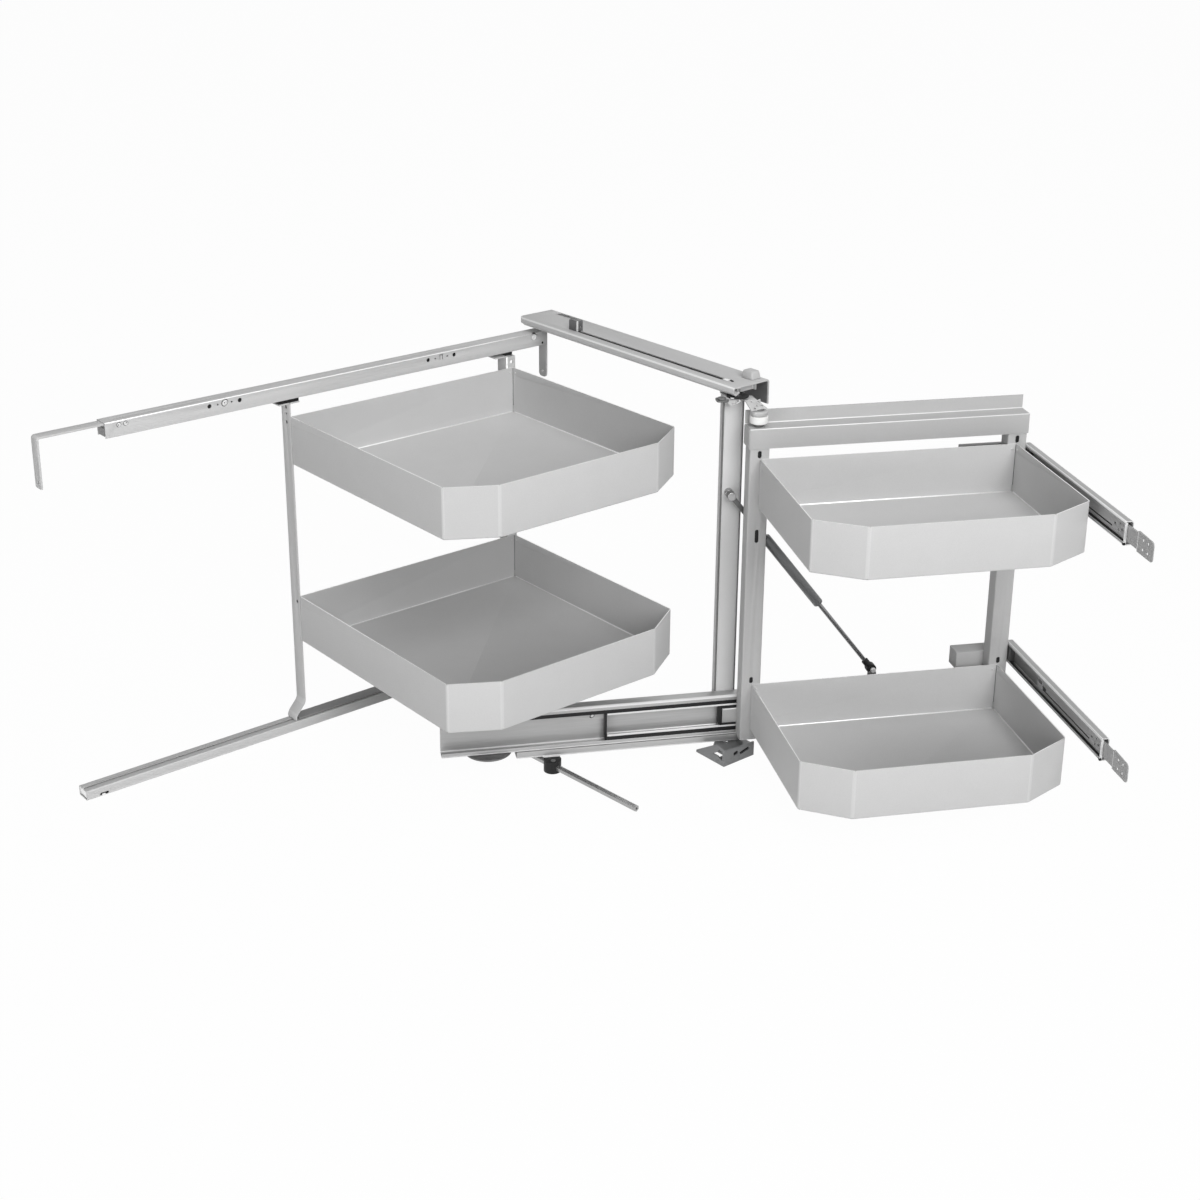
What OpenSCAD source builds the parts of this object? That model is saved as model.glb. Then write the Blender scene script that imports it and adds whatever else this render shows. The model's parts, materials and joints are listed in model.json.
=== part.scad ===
// Blind corner pull out: two rear trays on a pair of rails, two front trays on a swivelling frame.
// Millimetres. The origin is on the cabinet floor, under the axis of the swivel.

/* [Trays] */
// height of every tray wall
tray_h = 80; // [50:1:120]
// sheet thickness of the trays
tray_sheet = 1.5; // [1:0.1:3]
// width of a rear tray
rear_tray_w = 438; // [360:1:480]
// depth of a rear tray
rear_tray_d = 455; // [380:1:480]
// gap between the upper rear tray and the upper rail
rear_rim_gap = 28; // [12:1:60]
// rim height of the lower rear tray
rear_lower_rim = 238; // [210:1:300]
// width of a front tray
front_tray_w = 413; // [360:1:440]
// depth of a front tray
front_tray_d = 300; // [220:1:310]
// gap between the upper front tray and the crossbar
front_rim_gap = 16.5; // [12.5:0.5:40]
// rim height of the lower front tray
front_lower_rim = 134; // [115:1:150]
// width taken off each front corner
corner_w = 70; // [30:1:100]
// depth taken off each front corner
corner_d = 42; // [20:1:80]
// radius of a screw head
head_r = 4; // [2.5:0.25:5]
// height of a screw head
head_h = 2; // [1:0.25:3]
// distance of the screw heads from the tray edges
head_inset = 8; // [6:0.5:14]

/* [Rear carriage] */
// gap between the swivel axis and the side of the rear trays
rear_gap_x = 54; // [50:1:80]
// distance from the swivel axis back to the front of the rear trays
rear_gap_y = 38; // [34:1:60]
// width of the right upright's face behind the tray
upright_w = 18; // [14:1:24]
// reach of the right upright past the side of the trays
upright_out = 4.5; // [2:0.5:8]
// sideways kick of the left upright's foot
kick = 10; // [4:0.5:12]
// height of the kicked part of the foot
kick_h = 22; // [16:1:40]
// height of the straight end of the foot
foot_h = 5; // [3:0.5:12]
// sheet thickness of the uprights
upright_sheet = 2; // [1.5:0.1:3]
// length of a glide shoe
shoe_len = 37; // [28:1:42]
// how far a glide shoe shows below the upper rail
shoe_drop = 6; // [3:0.5:10]
// height of the lower runner bar
runner_h = 3.5; // [2:0.1:5]
// width of the lower runner bar
runner_w = 21.5; // [14:0.5:24]
// depth of the runner tongue below the top of the lower rail
tongue_h = 7.5; // [4:0.5:10]

/* [Cabinet rails] */
// distance from the top of the channel to the underside of the upper rail
rail_below = 47; // [42:1:60]
// height of the upper rail
upper_rail_h = 24; // [20:1:40]
// depth of both rails
rail_d = 27; // [24:1:40]
// wall of the rails
rail_sheet = 1.5; // [1:0.1:3]
// travel of the rear carriage along the rails
rear_travel = 286; // [100:1:300]
// rail length kept clear past the carriage at each end
rail_spare = 23; // [22:1:40]
// length of rail past the right side of the trays
rail_right = 74; // [60:1:75]
// height of the lower rail
lower_rail_h = 16; // [12:1:24]
// lower rail length past the left end of the upper rail
lower_rail_extra = 82; // [20:1:90]
// width of the groove along the lower rail
groove_w = 4; // [3:0.5:14]
// sideways play of the runner in the groove and of the shoes in the rail
glide_play = 0.5; // [0.3:0.1:1]
// width of the strip brackets
strip_w = 20; // [14:1:22]
// thickness of the strip brackets
strip_t = 3; // [2:0.5:5]
// length of the left strip bracket inside the rail
strip_inside = 60; // [30:1:100]
// reach of the left strip bracket past the rail
left_reach = 104; // [40:1:140]
// drop of the left strip bracket
left_drop = 80; // [40:1:120]
// drop of the right strip bracket below the top channel
right_drop = 106; // [60:1:130]
// radius of the screw holes in the brackets
screw_r = 2.4; // [1.5:0.1:3]
// distance of the left hole pair from the left end of the upper rail
left_pair = 171; // [120:1:240]
// distance of the right hole pair from the right end of the upper rail
right_pair = 196; // [120:1:240]
// spacing of the two holes of a pair
pair_gap = 52; // [30:1:60]
// height of the hole pairs above the underside of the upper rail
pair_z = 16; // [8:0.5:18]

/* [Top channel] */
// upper face of the top channel above the floor
channel_top = 619; // [614:1:640]
// width of the top channel
channel_w = 75; // [60:1:90]
// length of the top channel
channel_len = 536; // [480:1:560]
// reach of the top channel in front of the swivel axis
channel_front = 6; // [6:1:20]
// reach of the top channel left of the swivel axis
channel_left = 14.5; // [12:0.5:20]
// height of the right flange
channel_flange = 39; // [20:1:44]
// height of the left lip
channel_lip = 12; // [8:1:13]
// sheet thickness of the top channel
channel_sheet = 2; // [1.5:0.1:3]
// distance of the slot from the swivel axis
slot_x = 7; // [6:0.5:14]
// start of the slot behind the swivel axis
slot_start = 37; // [30:1:60]
// width of the window beside the right flange
window_w = 12; // [8:0.5:16]
// length of the window beside the right flange
window_len = 66; // [30:1:80]
// distance of the window from the right flange
window_in = 0.5; // [0.5:0.5:8]
// distance of the window from the back end of the channel
window_back = 24; // [10:1:40]
// length of the slot tab along the slot
tab_len = 22; // [12:1:30]
// width of the bent end of the slot tab
tab_end = 12; // [6:0.5:16]
// rise of the slot tab above the channel
tab_up = 18; // [8:0.5:20]
// width of the slot along the channel
slot_w = 6; // [4:0.5:8]
// length of the slot along the channel
slot_len = 374; // [200:1:380]
// width of the bumper block
bumper_w = 20; // [14:1:26]
// length of the bumper block
bumper_len = 25; // [14:1:30]
// height of the bumper block
bumper_h = 13; // [8:0.5:14]
// distance of the bumper block from the right flange
bumper_in = 6.5; // [3:0.5:12]
// distance of the bumper block behind the axis
bumper_y = 5; // [2:0.5:12]
// height of the wide foot of the bumper block
bumper_foot = 6; // [2:0.5:7]
// step of the bumper block above its foot
bumper_step = 1.8; // [0.5:0.1:4]
// distance of the channel screw holes from the channel ends
channel_hole_in = 70; // [40:1:120]
// radius of the head of the top pivot pin
top_head_r = 5.5; // [5:0.25:6]

/* [Swivel] */
// turn of the front frame away from the rails
front_turn = 28.2; // [20:0.1:40]
// length of the swivel slide
slide_len = 490; // [420:1:500]
// reach of the slide in front of the axis
slide_front = 10; // [8:0.5:12]
// gap between the slide and the back of the posts
post_gap = 2; // [1.5:0.1:3]
// gap between the slide members
member_gap = 1; // [0.5:0.1:1.5]
// height of the swivel slide
slide_h = 70; // [60:1:76]
// depth of the swivel slide
slide_d = 22; // [18:1:26]
// sheet thickness of the slide members
slide_sheet = 1.8; // [1.4:0.1:2.4]
// lip height of the slide members
slide_lip = 8; // [5:0.5:10]
// reach of the fixed slide member to the right of the axis
slide_right = 26; // [15:1:40]
// how far the middle member stands out of the fixed one
middle_out = 265; // [200:1:300]
// how far the inner member stands out of the fixed one
inner_out = 453; // [420:1:470]
// underside of the slide carrier above the floor
carrier_z = 22; // [21:0.5:26]
// height of the slide carrier
carrier_h = 12; // [8:1:16]
// length of the slide carrier left of the axis
carrier_left = 345; // [320:1:348]
// reach of the column left of the axis
column_left = 18; // [16:1:26]
// width of the column
column_w = 32; // [28:1:44]
// depth of the column
column_d = 22; // [16:1:28]
// sheet thickness of the column
column_sheet = 2; // [1.5:0.1:3]
// width of the lips along the open back of the column
column_lip = 9; // [4:0.5:13]
// width of the ear on the column plate
ear_w = 12; // [6:0.5:14]
// height of the ear on the column plate
ear_h = 9; // [4:0.5:14]
// gap between the column and the web of the top channel
column_gap = 17; // [14:0.5:22]
// radius of the top pivot pin
top_pin_r = 4; // [3:0.25:6]
// radius of the floor pivot pin
floor_pin_r = 6; // [4:0.25:8]
// radius of the collar the swivel turns on
collar_r = 9; // [8.5:0.25:10]
// radial running clearance of the pivots and of the roller
run_gap = 0.05; // [0.02:0.01:0.1]
// reach of the column plate in front of the axis
plate_front = 8; // [7:0.5:12]
// length of the upper leg of the roller bracket
leg_len = 13.5; // [8:0.5:16]
// gap between the top pivot pin and the roller bracket
leg_gap = 2.4; // [1.5:0.1:4]
// height of the roller bracket over its track
roller_step = 2.5; // [1:0.1:4]
// height of the roller over the ledge
roller_lift = 6; // [4:0.5:7]
// radius of the guide roller
roller_r = 14; // [9:0.5:15]
// height of the guide roller
roller_h = 12; // [8:0.5:13]
// radius of the guide roller pin
roller_pin_r = 3; // [2:0.25:4]
// radius of the heads of the guide roller pin
roller_head_r = 7.5; // [4.5:0.25:9]
// distance of the dished disc from the axis
disc_x = -388; // [-420:1:-388]
// radius of the dished disc below the slide
disc_r = 38; // [25:1:40]
// depth of the dished disc
disc_h = 8; // [4:0.5:10]
// radius of the flat underside of the dished disc
disc_flat_r = 28; // [14:1:34]
// height of the rim of the dished disc
disc_rim = 2.4; // [1:0.1:3.5]
// distance of the rod bush along the slide
bush_x = -289; // [-330:1:-220]
// distance of the rod bush in front of the axis
bush_y = 18; // [14:0.5:24]
// radius of the rod bush
bush_r = 14; // [10:0.5:16]
// height of the rod bush
bush_h = 20; // [16:0.5:20]
// radius of the stop rod
rod_r = 5; // [3:0.25:6]
// height of the stop rod above the underside of the bush
rod_up = 9; // [7:0.5:11]
// length of the stop rod in front of the bush
rod_front = 187; // [80:1:220]
// length of the stop rod behind the bush
rod_back = 60; // [30:1:80]
// angle of the stop rod to the tray depth
rod_angle = 33; // [20:1:45]

/* [Floor bracket] */
// length of the front wall
bracket_w = 66; // [50:1:90]
// length of the left wall
bracket_d = 65; // [50:1:90]
// height of the top plate of the floor bracket
bracket_h = 20; // [14:0.5:20.5]
// height of the front wall at its left corner
corner_h = 29; // [22:0.5:30]
// height of the front wall at its right end
right_h = 24; // [21:0.5:28]
// height of the peak of the left wall
peak_h = 33; // [29:0.5:34]
// sheet thickness of the floor bracket
bracket_sheet = 2.5; // [1.5:0.1:4]
// distance of the peak of the left wall from the front wall
peak_in = 18; // [12:0.5:20]
// length of the straight sides of the top plate
bracket_full = 29; // [20:1:40]
// height of the left wall at its back end
bracket_low = 4; // [2:0.5:8]
// distance of the cut-out from the front wall
cut_in = 4; // [3:0.5:8]
// height of the cut-out above the floor
cut_up = 9; // [5:0.5:12]
// length of the cut-out in the left wall
cut_len = 22; // [10:0.5:24]
// height of the cut-out in the left wall
cut_h = 18; // [8:0.5:18]
// reach of the floor bracket left of the axis
bracket_left = 41; // [30:1:50]
// reach of the floor bracket in front of the axis
bracket_front = 39; // [30:1:50]
// middle of the floor screws left of the axis
floor_screw_x = -7; // [-16:1:2]
// middle of the floor screws in front of the axis
floor_screw_y = -24; // [-30:1:-20]
// spacing of the floor screws
floor_screw_gap = 32; // [24:1:40]

/* [Front frame] */
// gap between the axis and the side of the front trays
front_gap_x = 28; // [26:1:40]
// width of a post
post_w = 31; // [24:1:34]
// depth of a post
post_d = 24; // [18:1:24]
// sheet thickness of the posts and the crossbar
post_sheet = 1.5; // [1.2:0.1:3]
// foot of the posts above the floor
post_z = 36; // [34:1:50]
// overlap of a tray over a post
post_overlap = 15; // [8:1:20]
// distance from the top of the column to the underside of the crossbar
crossbar_below = 71.5; // [71:0.5:76]
// height of the front flange of the crossbar
crossbar_h = 32; // [20:0.5:32]
// height of the roller track above the ledge
track_h = 21.5; // [14:0.5:22]
// distance of the roller track in front of the axis
track_y = 8; // [6:0.5:9]
// width of the slots in the posts
slot_wide = 5.5; // [4:0.5:9]
// height of the short slots in the posts
slot_tall = 11; // [10:0.5:14]
// distance from the rim of the upper front tray to the middle of the long slot
long_slot_below = 126; // [110:1:240]
// height of the long slot in the left post
long_slot_h = 22; // [12:0.5:30]
// height of the short slots above the tray rims
slot_up = 7; // [6.5:0.5:12]
// gap between the roller and its track
track_gap = 0.5; // [0.3:0.1:2]
// width of the square stub tube
stub_w = 30; // [20:1:32]
// length of the square stub tube
stub_len = 77; // [60:1:110]
// height of the middle of the stub tube
stub_z = 133; // [125:1:170]
// length of the upper tie bar
tie_len = 98; // [60:1:120]
// depth of the upper tie bar
tie_d = 9; // [5:0.5:14]
// height of the upper tie bar
tie_h = 14; // [8:0.5:18]

/* [Door arms] */
// height of an arm channel
arm_h = 36; // [28:1:40]
// width of an arm channel
arm_w = 13; // [10:0.5:16]
// distance of the arm channels in front of the axis
arm_back = 26; // [14:1:40]
// lip of the arm channels
arm_lip = 5; // [3:0.5:6]
// length of an arm channel
arm_len = 346; // [250:1:360]
// distance from the rim of the upper front tray to the middle of the upper arm
upper_arm_below = 21; // [18:1:50]
// middle height of the lower arm
lower_arm_z = 153; // [150:1:200]
// reach of the door plates past the arm channels
arm_out = 75; // [65:1:120]
// length of the sliding bar inside the channel
arm_inside = 230; // [150:1:260]
// height of a door plate
plate_h = 30; // [22:1:32]
// length of a door plate
plate_len = 46; // [40:1:50]
// thickness of the sliding bar and its plate
bar_t = 3; // [2:0.5:5]
// height of the sliding bar
bar_h = 24; // [18:0.5:26]
// radius of the hole circle in a door plate
plate_ring = 10; // [8:0.5:11]
// radius of the holes in a door plate
plate_hole_r = 2.2; // [1.5:0.1:3]

/* [Gas strut] */
// distance of the strut in front of the axis
strut_y = 2; // [0:0.5:3]
// thickness of the strut eye
eye_t = 6; // [3:0.5:7]
// radius of the strut eye and of the heads of its pin
eye_r = 6.8; // [6:0.1:9]
// radius of the lower strut clip
clip_r = 8; // [6:0.5:10]
// radius of the neck of the strut clip
neck_r = 5.6; // [4.5:0.1:6]
// length of the neck of the strut clip
neck_len = 9.5; // [6:0.5:16]
// radius of the ball stud head
stud_r = 4.4; // [3:0.1:5]
// width of the strut bracket
stud_plate_w = 22; // [16:0.5:30]
// distance from the top of the column to the upper strut pin
strut_below = 156; // [146:1:170]
// offset of the upper strut pin from the axis
strut_x = -6.5; // [-10:0.5:0]
// distance of the lower strut stud from the axis
stud_x = 237; // [220:1:260]
// height of the lower strut stud
stud_z = 130; // [120:1:135]
// radius of the strut barrel
barrel_r = 7; // [5:0.25:8]
// length of the strut barrel
barrel_len = 150; // [120:1:170]
// thickness of the closed end of the strut barrel
barrel_cap = 7.5; // [4:0.5:12]
// radius of the strut rod
strut_rod_r = 3.5; // [2.5:0.25:4]
// distance from the pin to the barrel
eye_len = 95; // [80:1:110]
// radius of the upper strut pin
strut_pin_r = 4; // [3:0.25:5]
// rod length left inside the barrel
rod_inside = 60; // [40:1:70]

/* [Hidden] */
$fn = 64;
cut = 1;
corner_run = sqrt(corner_w * corner_w + corner_d * corner_d);
rear_x = -rear_gap_x - rear_tray_w;
rear_right = -rear_gap_x;
rear_back = rear_gap_y + rear_tray_d;
upper_rail_z = channel_top - rail_below;
upper_rail_top = upper_rail_z + upper_rail_h;
rear_upper_rim = upper_rail_z - rear_rim_gap;
rail_left = rear_x - rear_travel - rail_spare;
rail_end = rear_right + rail_right;
rail_len = rail_end - rail_left;
rail_mid = rear_back + rail_d / 2;
strip_top = upper_rail_top - rail_sheet;
shoe_z = upper_rail_z - shoe_drop;
shoe_top = strip_top - strip_t - cut;
runner_z = lower_rail_h + glide_play;
upright_z = runner_z + runner_h;
upright_d = rail_d - rail_sheet;
upright_len = shoe_z - upright_z;
left_shoe_x = rear_x - shoe_len / 2;
right_shoe_x = rear_right - shoe_len;
right_face_x = rear_right + upright_out - upright_w;
web_z = channel_top - channel_sheet;
column_top = web_z - column_gap;
crossbar_z = column_top - crossbar_below;
front_upper_rim = crossbar_z - front_rim_gap;
long_slot_z = front_upper_rim - long_slot_below;
upper_arm_z = front_upper_rim - upper_arm_below;
strut_z = column_top - strut_below;
channel_right = channel_w - channel_left;
channel_end = channel_len - channel_front;
window_x = channel_right - channel_sheet - window_in - window_w;
channel_hole_z = web_z - channel_flange / 2;
slide_back = slide_d - slide_front;
slide_z = carrier_z + carrier_h;
slide_left = slide_right - slide_len;
slide_mid = slide_z + slide_h / 2;
post_back = slide_front + post_gap;
post_front = post_back + post_d;
left_post_x = front_gap_x + post_overlap - post_w;
right_post_x = front_gap_x + front_tray_w - post_overlap;
frame_right = right_post_x + post_w;
ledge_z = crossbar_z + crossbar_h;
track_top = ledge_z + track_h;
track_face = track_y + post_sheet;
roller_y = track_face + track_gap + roller_r;
roller_x = left_post_x + post_w / 2;
roller_z = ledge_z + roller_lift;
leg_x = top_pin_r + leg_gap;
bracket_step = track_top + roller_step;
middle_left = slide_left + middle_out;
middle_h = slide_h - 2 * slide_lip - 4 * member_gap;
middle_d = slide_d - slide_sheet - 3 * member_gap;
inner_left = slide_left + inner_out;
inner_d = middle_d - slide_sheet;
race_h = slide_lip + 2 * member_gap - slide_sheet;
inner_h = middle_h - 2 * slide_lip - 8 * member_gap;
inner_top = slide_mid + inner_h / 2;
arm_front = arm_back + arm_len;
plate_end = arm_front + arm_out;
plate_mid = plate_end - plate_len / 2;
bar_x = frame_right + arm_w / 2 - bar_t / 2;
strut_dx = stud_x - strut_x;
strut_dz = strut_z - stud_z;
strut_len = sqrt(strut_dx * strut_dx + strut_dz * strut_dz);
strut_tilt = 90 + atan2(strut_dz, strut_dx);
barrel_end = eye_len + barrel_len;
bush_z = carrier_z - bush_h;
rod_z = bush_z + rod_up;

module along_x(length) {
    rotate([90, 0, 90])
        linear_extrude(length)
            children();
}

module along_y(length) {
    translate([0, length, 0])
        rotate([90, 0, 0])
            linear_extrude(length)
                children();
}

module front_frame() {
    rotate([0, 0, -front_turn])
        children();
}

module on_strut() {
    front_frame()
        translate([strut_x, -strut_y, strut_z])
            rotate([0, strut_tilt, 0])
                children();
}

module slot_hole(width, length) {
    square([width, length - width], center = true);
    for (side = [-1, 1])
        translate([0, side * (length - width) / 2])
            circle(d = width);
}

module tray_floor(w, d) {
    polygon([[corner_w, 0], [w - corner_w, 0], [w, corner_d], [w, d], [0, d], [0, corner_d]]);
}

module tray_hollow(w, d) {
    t = tray_sheet;
    side = (corner_d * (corner_w - t) + t * corner_run) / corner_w;
    front = (corner_d * corner_w + t * corner_run - corner_w * t) / corner_d;
    polygon([[front, t], [w - front, t], [w - t, side], [w - t, d - t], [t, d - t], [t, side]]);
}

module tray(w, d) {
    difference() {
        linear_extrude(tray_h)
            tray_floor(w, d);
        translate([0, 0, tray_sheet])
            linear_extrude(tray_h)
                tray_hollow(w, d);
    }
}

module shoe(x) {
    side = rail_sheet + glide_play;
    translate([x, rear_back + side, shoe_z])
        cube([shoe_len, rail_d - 2 * side, shoe_top - shoe_z]);
}

module screw_heads(x0, x1, y, z) {
    for (x = [x0, x1])
        translate([x, y, z])
            rotate([90, 0, 0])
                cylinder(r = head_r, h = head_h);
}

module slide_section(h, d, t, lip) {
    difference() {
        square([d, h]);
        translate([t, t])
            square([d - 2 * t, h - 2 * t]);
        translate([-cut, lip])
            square([t + 2 * cut, h - 2 * lip]);
    }
}

module upper_rail() {
    color("silver")
        difference() {
            translate([rail_left, rear_back, upper_rail_z])
                along_x(rail_len)
                    difference() {
                        square([rail_d, upper_rail_h]);
                        translate([rail_sheet, -cut])
                            square([rail_d - 2 * rail_sheet, upper_rail_h - rail_sheet + cut]);
                    }
            for (x = [rail_left + left_pair, rail_end - right_pair - pair_gap], far = [0, pair_gap])
                translate([x + far, rear_back - cut, upper_rail_z + pair_z])
                    rotate([-90, 0, 0])
                        cylinder(r = screw_r, h = rail_sheet + 2 * cut);
        }
}

module left_strip() {
    color("gainsboro")
        difference() {
            translate([rail_left - left_reach, rail_mid - strip_w / 2, strip_top - left_drop])
                union() {
                    cube([strip_t, strip_w, left_drop]);
                    translate([0, 0, left_drop - strip_t])
                        cube([left_reach + strip_inside, strip_w, strip_t]);
                }
            translate([rail_left - left_reach - cut, rail_mid, strip_top - left_drop + strip_w / 2])
                rotate([0, 90, 0])
                    cylinder(r = screw_r, h = strip_t + 2 * cut);
        }
}

module right_strip() {
    color("gainsboro")
        difference() {
            translate([rail_end, rail_mid - strip_w / 2, web_z - right_drop])
                union() {
                    cube([strip_t, strip_w, right_drop]);
                    translate([0, 0, right_drop - strip_t])
                        cube([strip_w, strip_w, strip_t]);
                }
            translate([rail_end - cut, rail_mid, web_z - right_drop + strip_w / 2])
                rotate([0, 90, 0])
                    cylinder(r = screw_r, h = strip_t + 2 * cut);
        }
}

module lower_rail() {
    color("silver")
        translate([rail_left - lower_rail_extra, rear_back, 0])
            along_x(rail_len + lower_rail_extra)
                difference() {
                    square([rail_d, lower_rail_h]);
                    translate([rail_sheet, rail_sheet])
                        square([rail_d - 2 * rail_sheet, lower_rail_h - 2 * rail_sheet]);
                    translate([(rail_d - groove_w) / 2, lower_rail_h - rail_sheet - cut])
                        square([groove_w, rail_sheet + 2 * cut]);
                }
}

module top_channel() {
    color("silver")
        difference() {
            translate([-channel_left, -channel_front, channel_top])
                along_y(channel_len)
                    union() {
                        translate([0, -channel_sheet])
                            square([channel_w, channel_sheet]);
                        translate([0, -channel_lip])
                            square([channel_sheet, channel_lip]);
                        translate([channel_w - channel_sheet, -channel_flange])
                            square([channel_sheet, channel_flange]);
                    }
            translate([slot_x - slot_w / 2, slot_start, web_z - cut])
                cube([slot_w, slot_len, channel_sheet + 2 * cut]);
            translate([window_x, channel_end - window_back - window_len, web_z - cut])
                cube([window_w, window_len, channel_sheet + 2 * cut]);
            for (y = [channel_hole_in, channel_len - channel_hole_in])
                translate([channel_right - channel_sheet - cut, y - channel_front, channel_hole_z])
                    rotate([0, 90, 0])
                        cylinder(r = screw_r, h = channel_sheet + 2 * cut);
        }
}

module slot_tab() {
    color("silver")
        translate([slot_x - slot_w / 2 - channel_sheet, slot_start + slot_len - tab_len, channel_top])
            union() {
                cube([channel_sheet, tab_len, tab_up]);
                cube([tab_end, channel_sheet, tab_up]);
            }
}

module slot_stop() {
    color("dimgray")
        translate([slot_x, slot_start - 2 * slot_w, channel_top])
            cylinder(r = head_r, h = head_h);
}

module bumper_block() {
    color("whitesmoke")
        translate([channel_right - bumper_in - bumper_w, bumper_y, channel_top])
            union() {
                cube([bumper_w, bumper_len, bumper_foot]);
                translate([bumper_step, bumper_step, 0])
                    cube([bumper_w - 2 * bumper_step, bumper_len - 2 * bumper_step, bumper_h]);
            }
}

module top_pin() {
    color("gray")
        union() {
            translate([0, 0, column_top - channel_sheet])
                cylinder(r = top_pin_r, h = web_z - column_top + channel_sheet);
            translate([0, 0, web_z - channel_sheet])
                cylinder(r = top_head_r, h = channel_sheet);
        }
}

module floor_bracket() {
    t = bracket_sheet;
    color("darkgray")
        difference() {
            translate([-bracket_left, -bracket_front, 0])
                union() {
                    along_y(t)
                        polygon([[0, 0], [bracket_w, 0], [bracket_w, right_h], [0, corner_h]]);
                    along_x(t)
                        polygon([[0, 0], [bracket_d, 0], [bracket_d, bracket_low], [peak_in, peak_h],
                                 [0, corner_h]]);
                    cube([bracket_w, bracket_front + 2 * floor_pin_r, t]);
                    translate([0, 0, bracket_h - t])
                        linear_extrude(t)
                            polygon([[0, 0], [bracket_w, 0], [bracket_w, bracket_full],
                                     [bracket_left + 2 * floor_pin_r, bracket_front + 2 * floor_pin_r],
                                     [bracket_left - 2 * floor_pin_r, bracket_front + 2 * floor_pin_r],
                                     [0, bracket_full]]);
                }
            translate([0, 0, bracket_h / 2])
                cylinder(r = floor_pin_r, h = bracket_h);
            for (side = [-1, 1])
                translate([floor_screw_x + side * floor_screw_gap / 2, floor_screw_y, -cut])
                    cylinder(r = screw_r, h = t + 2 * cut);
            translate([-bracket_left - cut, -bracket_front + cut_in, cut_up])
                along_x(t + 2 * cut)
                    polygon([[0, 0], [cut_len / 2, cut_h / 4], [cut_len, cut_h / 4],
                             [cut_len / 2, 2 * cut_h / 3], [cut_len / 3, cut_h], [0, 4 * cut_h / 5]]);
        }
}

module floor_pin() {
    color("gray")
        union() {
            translate([0, 0, bracket_h - bracket_sheet])
                cylinder(r = floor_pin_r, h = carrier_z - bracket_h + bracket_sheet + carrier_h / 2);
            translate([0, 0, bracket_h])
                cylinder(r = collar_r, h = carrier_z - bracket_h - glide_play);
        }
}

module left_upright() {
    color("silver")
        translate([rear_x, rear_back, upright_z])
            union() {
                along_y(upright_d)
                    polygon([[-kick, 0], [upright_sheet - kick, 0], [upright_sheet - kick, foot_h],
                             [upright_sheet, foot_h + kick_h], [upright_sheet, upright_len],
                             [0, upright_len], [0, foot_h + kick_h], [-kick, foot_h]]);
                translate([-shoe_len / 2, 0, upright_len - upright_sheet])
                    cube([shoe_len, upright_d, upright_sheet]);
            }
}

module right_upright() {
    color("silver")
        translate([right_face_x, rear_back, upright_z])
            union() {
                cube([upright_w, upright_sheet, upright_len]);
                cube([upright_sheet, upright_d, upright_len]);
                translate([right_shoe_x - right_face_x, 0, upright_len - upright_sheet])
                    cube([shoe_len, upright_d, upright_sheet]);
            }
}

module left_shoe() {
    color("black")
        shoe(left_shoe_x);
}

module right_shoe() {
    color("black")
        shoe(right_shoe_x);
}

module lower_runner() {
    tongue = groove_w - 2 * glide_play;
    color("dimgray")
        translate([rear_x - kick, rail_mid, runner_z])
            along_x(rear_tray_w + kick)
                union() {
                    translate([-runner_w / 2, 0])
                        square([runner_w, runner_h]);
                    translate([-tongue / 2, -tongue_h])
                        square([tongue, tongue_h + cut]);
                }
}

module rear_upper_tray() {
    color("lightgray")
        translate([rear_x, rear_gap_y, rear_upper_rim - tray_h])
            tray(rear_tray_w, rear_tray_d);
}

module rear_lower_tray() {
    color("lightgray")
        translate([rear_x, rear_gap_y, rear_lower_rim - tray_h])
            tray(rear_tray_w, rear_tray_d);
}

module rear_tray_screws() {
    color("gray")
        for (rim = [rear_upper_rim, rear_lower_rim])
            screw_heads(rear_x + head_inset, rear_right - head_inset, rear_back - tray_sheet,
                        rim - head_inset);
}

module column() {
    color("silver")
        front_frame()
            translate([-column_left, slide_back, slide_z])
                linear_extrude(column_top - slide_z)
                    difference() {
                        square([column_w, column_d]);
                        translate([column_sheet, column_sheet])
                            square([column_w - 2 * column_sheet, column_d - 2 * column_sheet]);
                        translate([column_lip, column_d / 2])
                            square([column_w - 2 * column_lip, column_d]);
                    }
}

module column_plate() {
    color("gainsboro")
        front_frame()
            difference() {
                union() {
                    translate([-column_left - column_sheet, -plate_front, column_top])
                        cube([column_w + 2 * column_sheet, plate_front + slide_back + column_d,
                              column_sheet]);
                    translate([-ear_w, -plate_front, column_top - ear_h])
                        cube([ear_w, column_sheet, ear_h]);
                }
                translate([0, 0, column_top - cut])
                    cylinder(r = top_pin_r + run_gap, h = column_sheet + 2 * cut);
            }
}

module roller_bracket() {
    t = column_sheet;
    color("gainsboro")
        front_frame()
            difference() {
                union() {
                    translate([leg_x, -roller_y - roller_r, column_top - t])
                        cube([leg_len, roller_y + roller_r + plate_front, t]);
                    translate([leg_x + leg_len - t, -roller_y - roller_r, bracket_step])
                        cube([t, 2 * roller_r, column_top - bracket_step]);
                    translate([leg_x + leg_len - t, -roller_y - roller_r, bracket_step])
                        cube([roller_x + roller_r - leg_x - leg_len + t, 2 * roller_r, t]);
                }
                translate([roller_x, -roller_y, bracket_step - cut])
                    cylinder(r = roller_pin_r, h = t + 2 * cut);
            }
}

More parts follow.
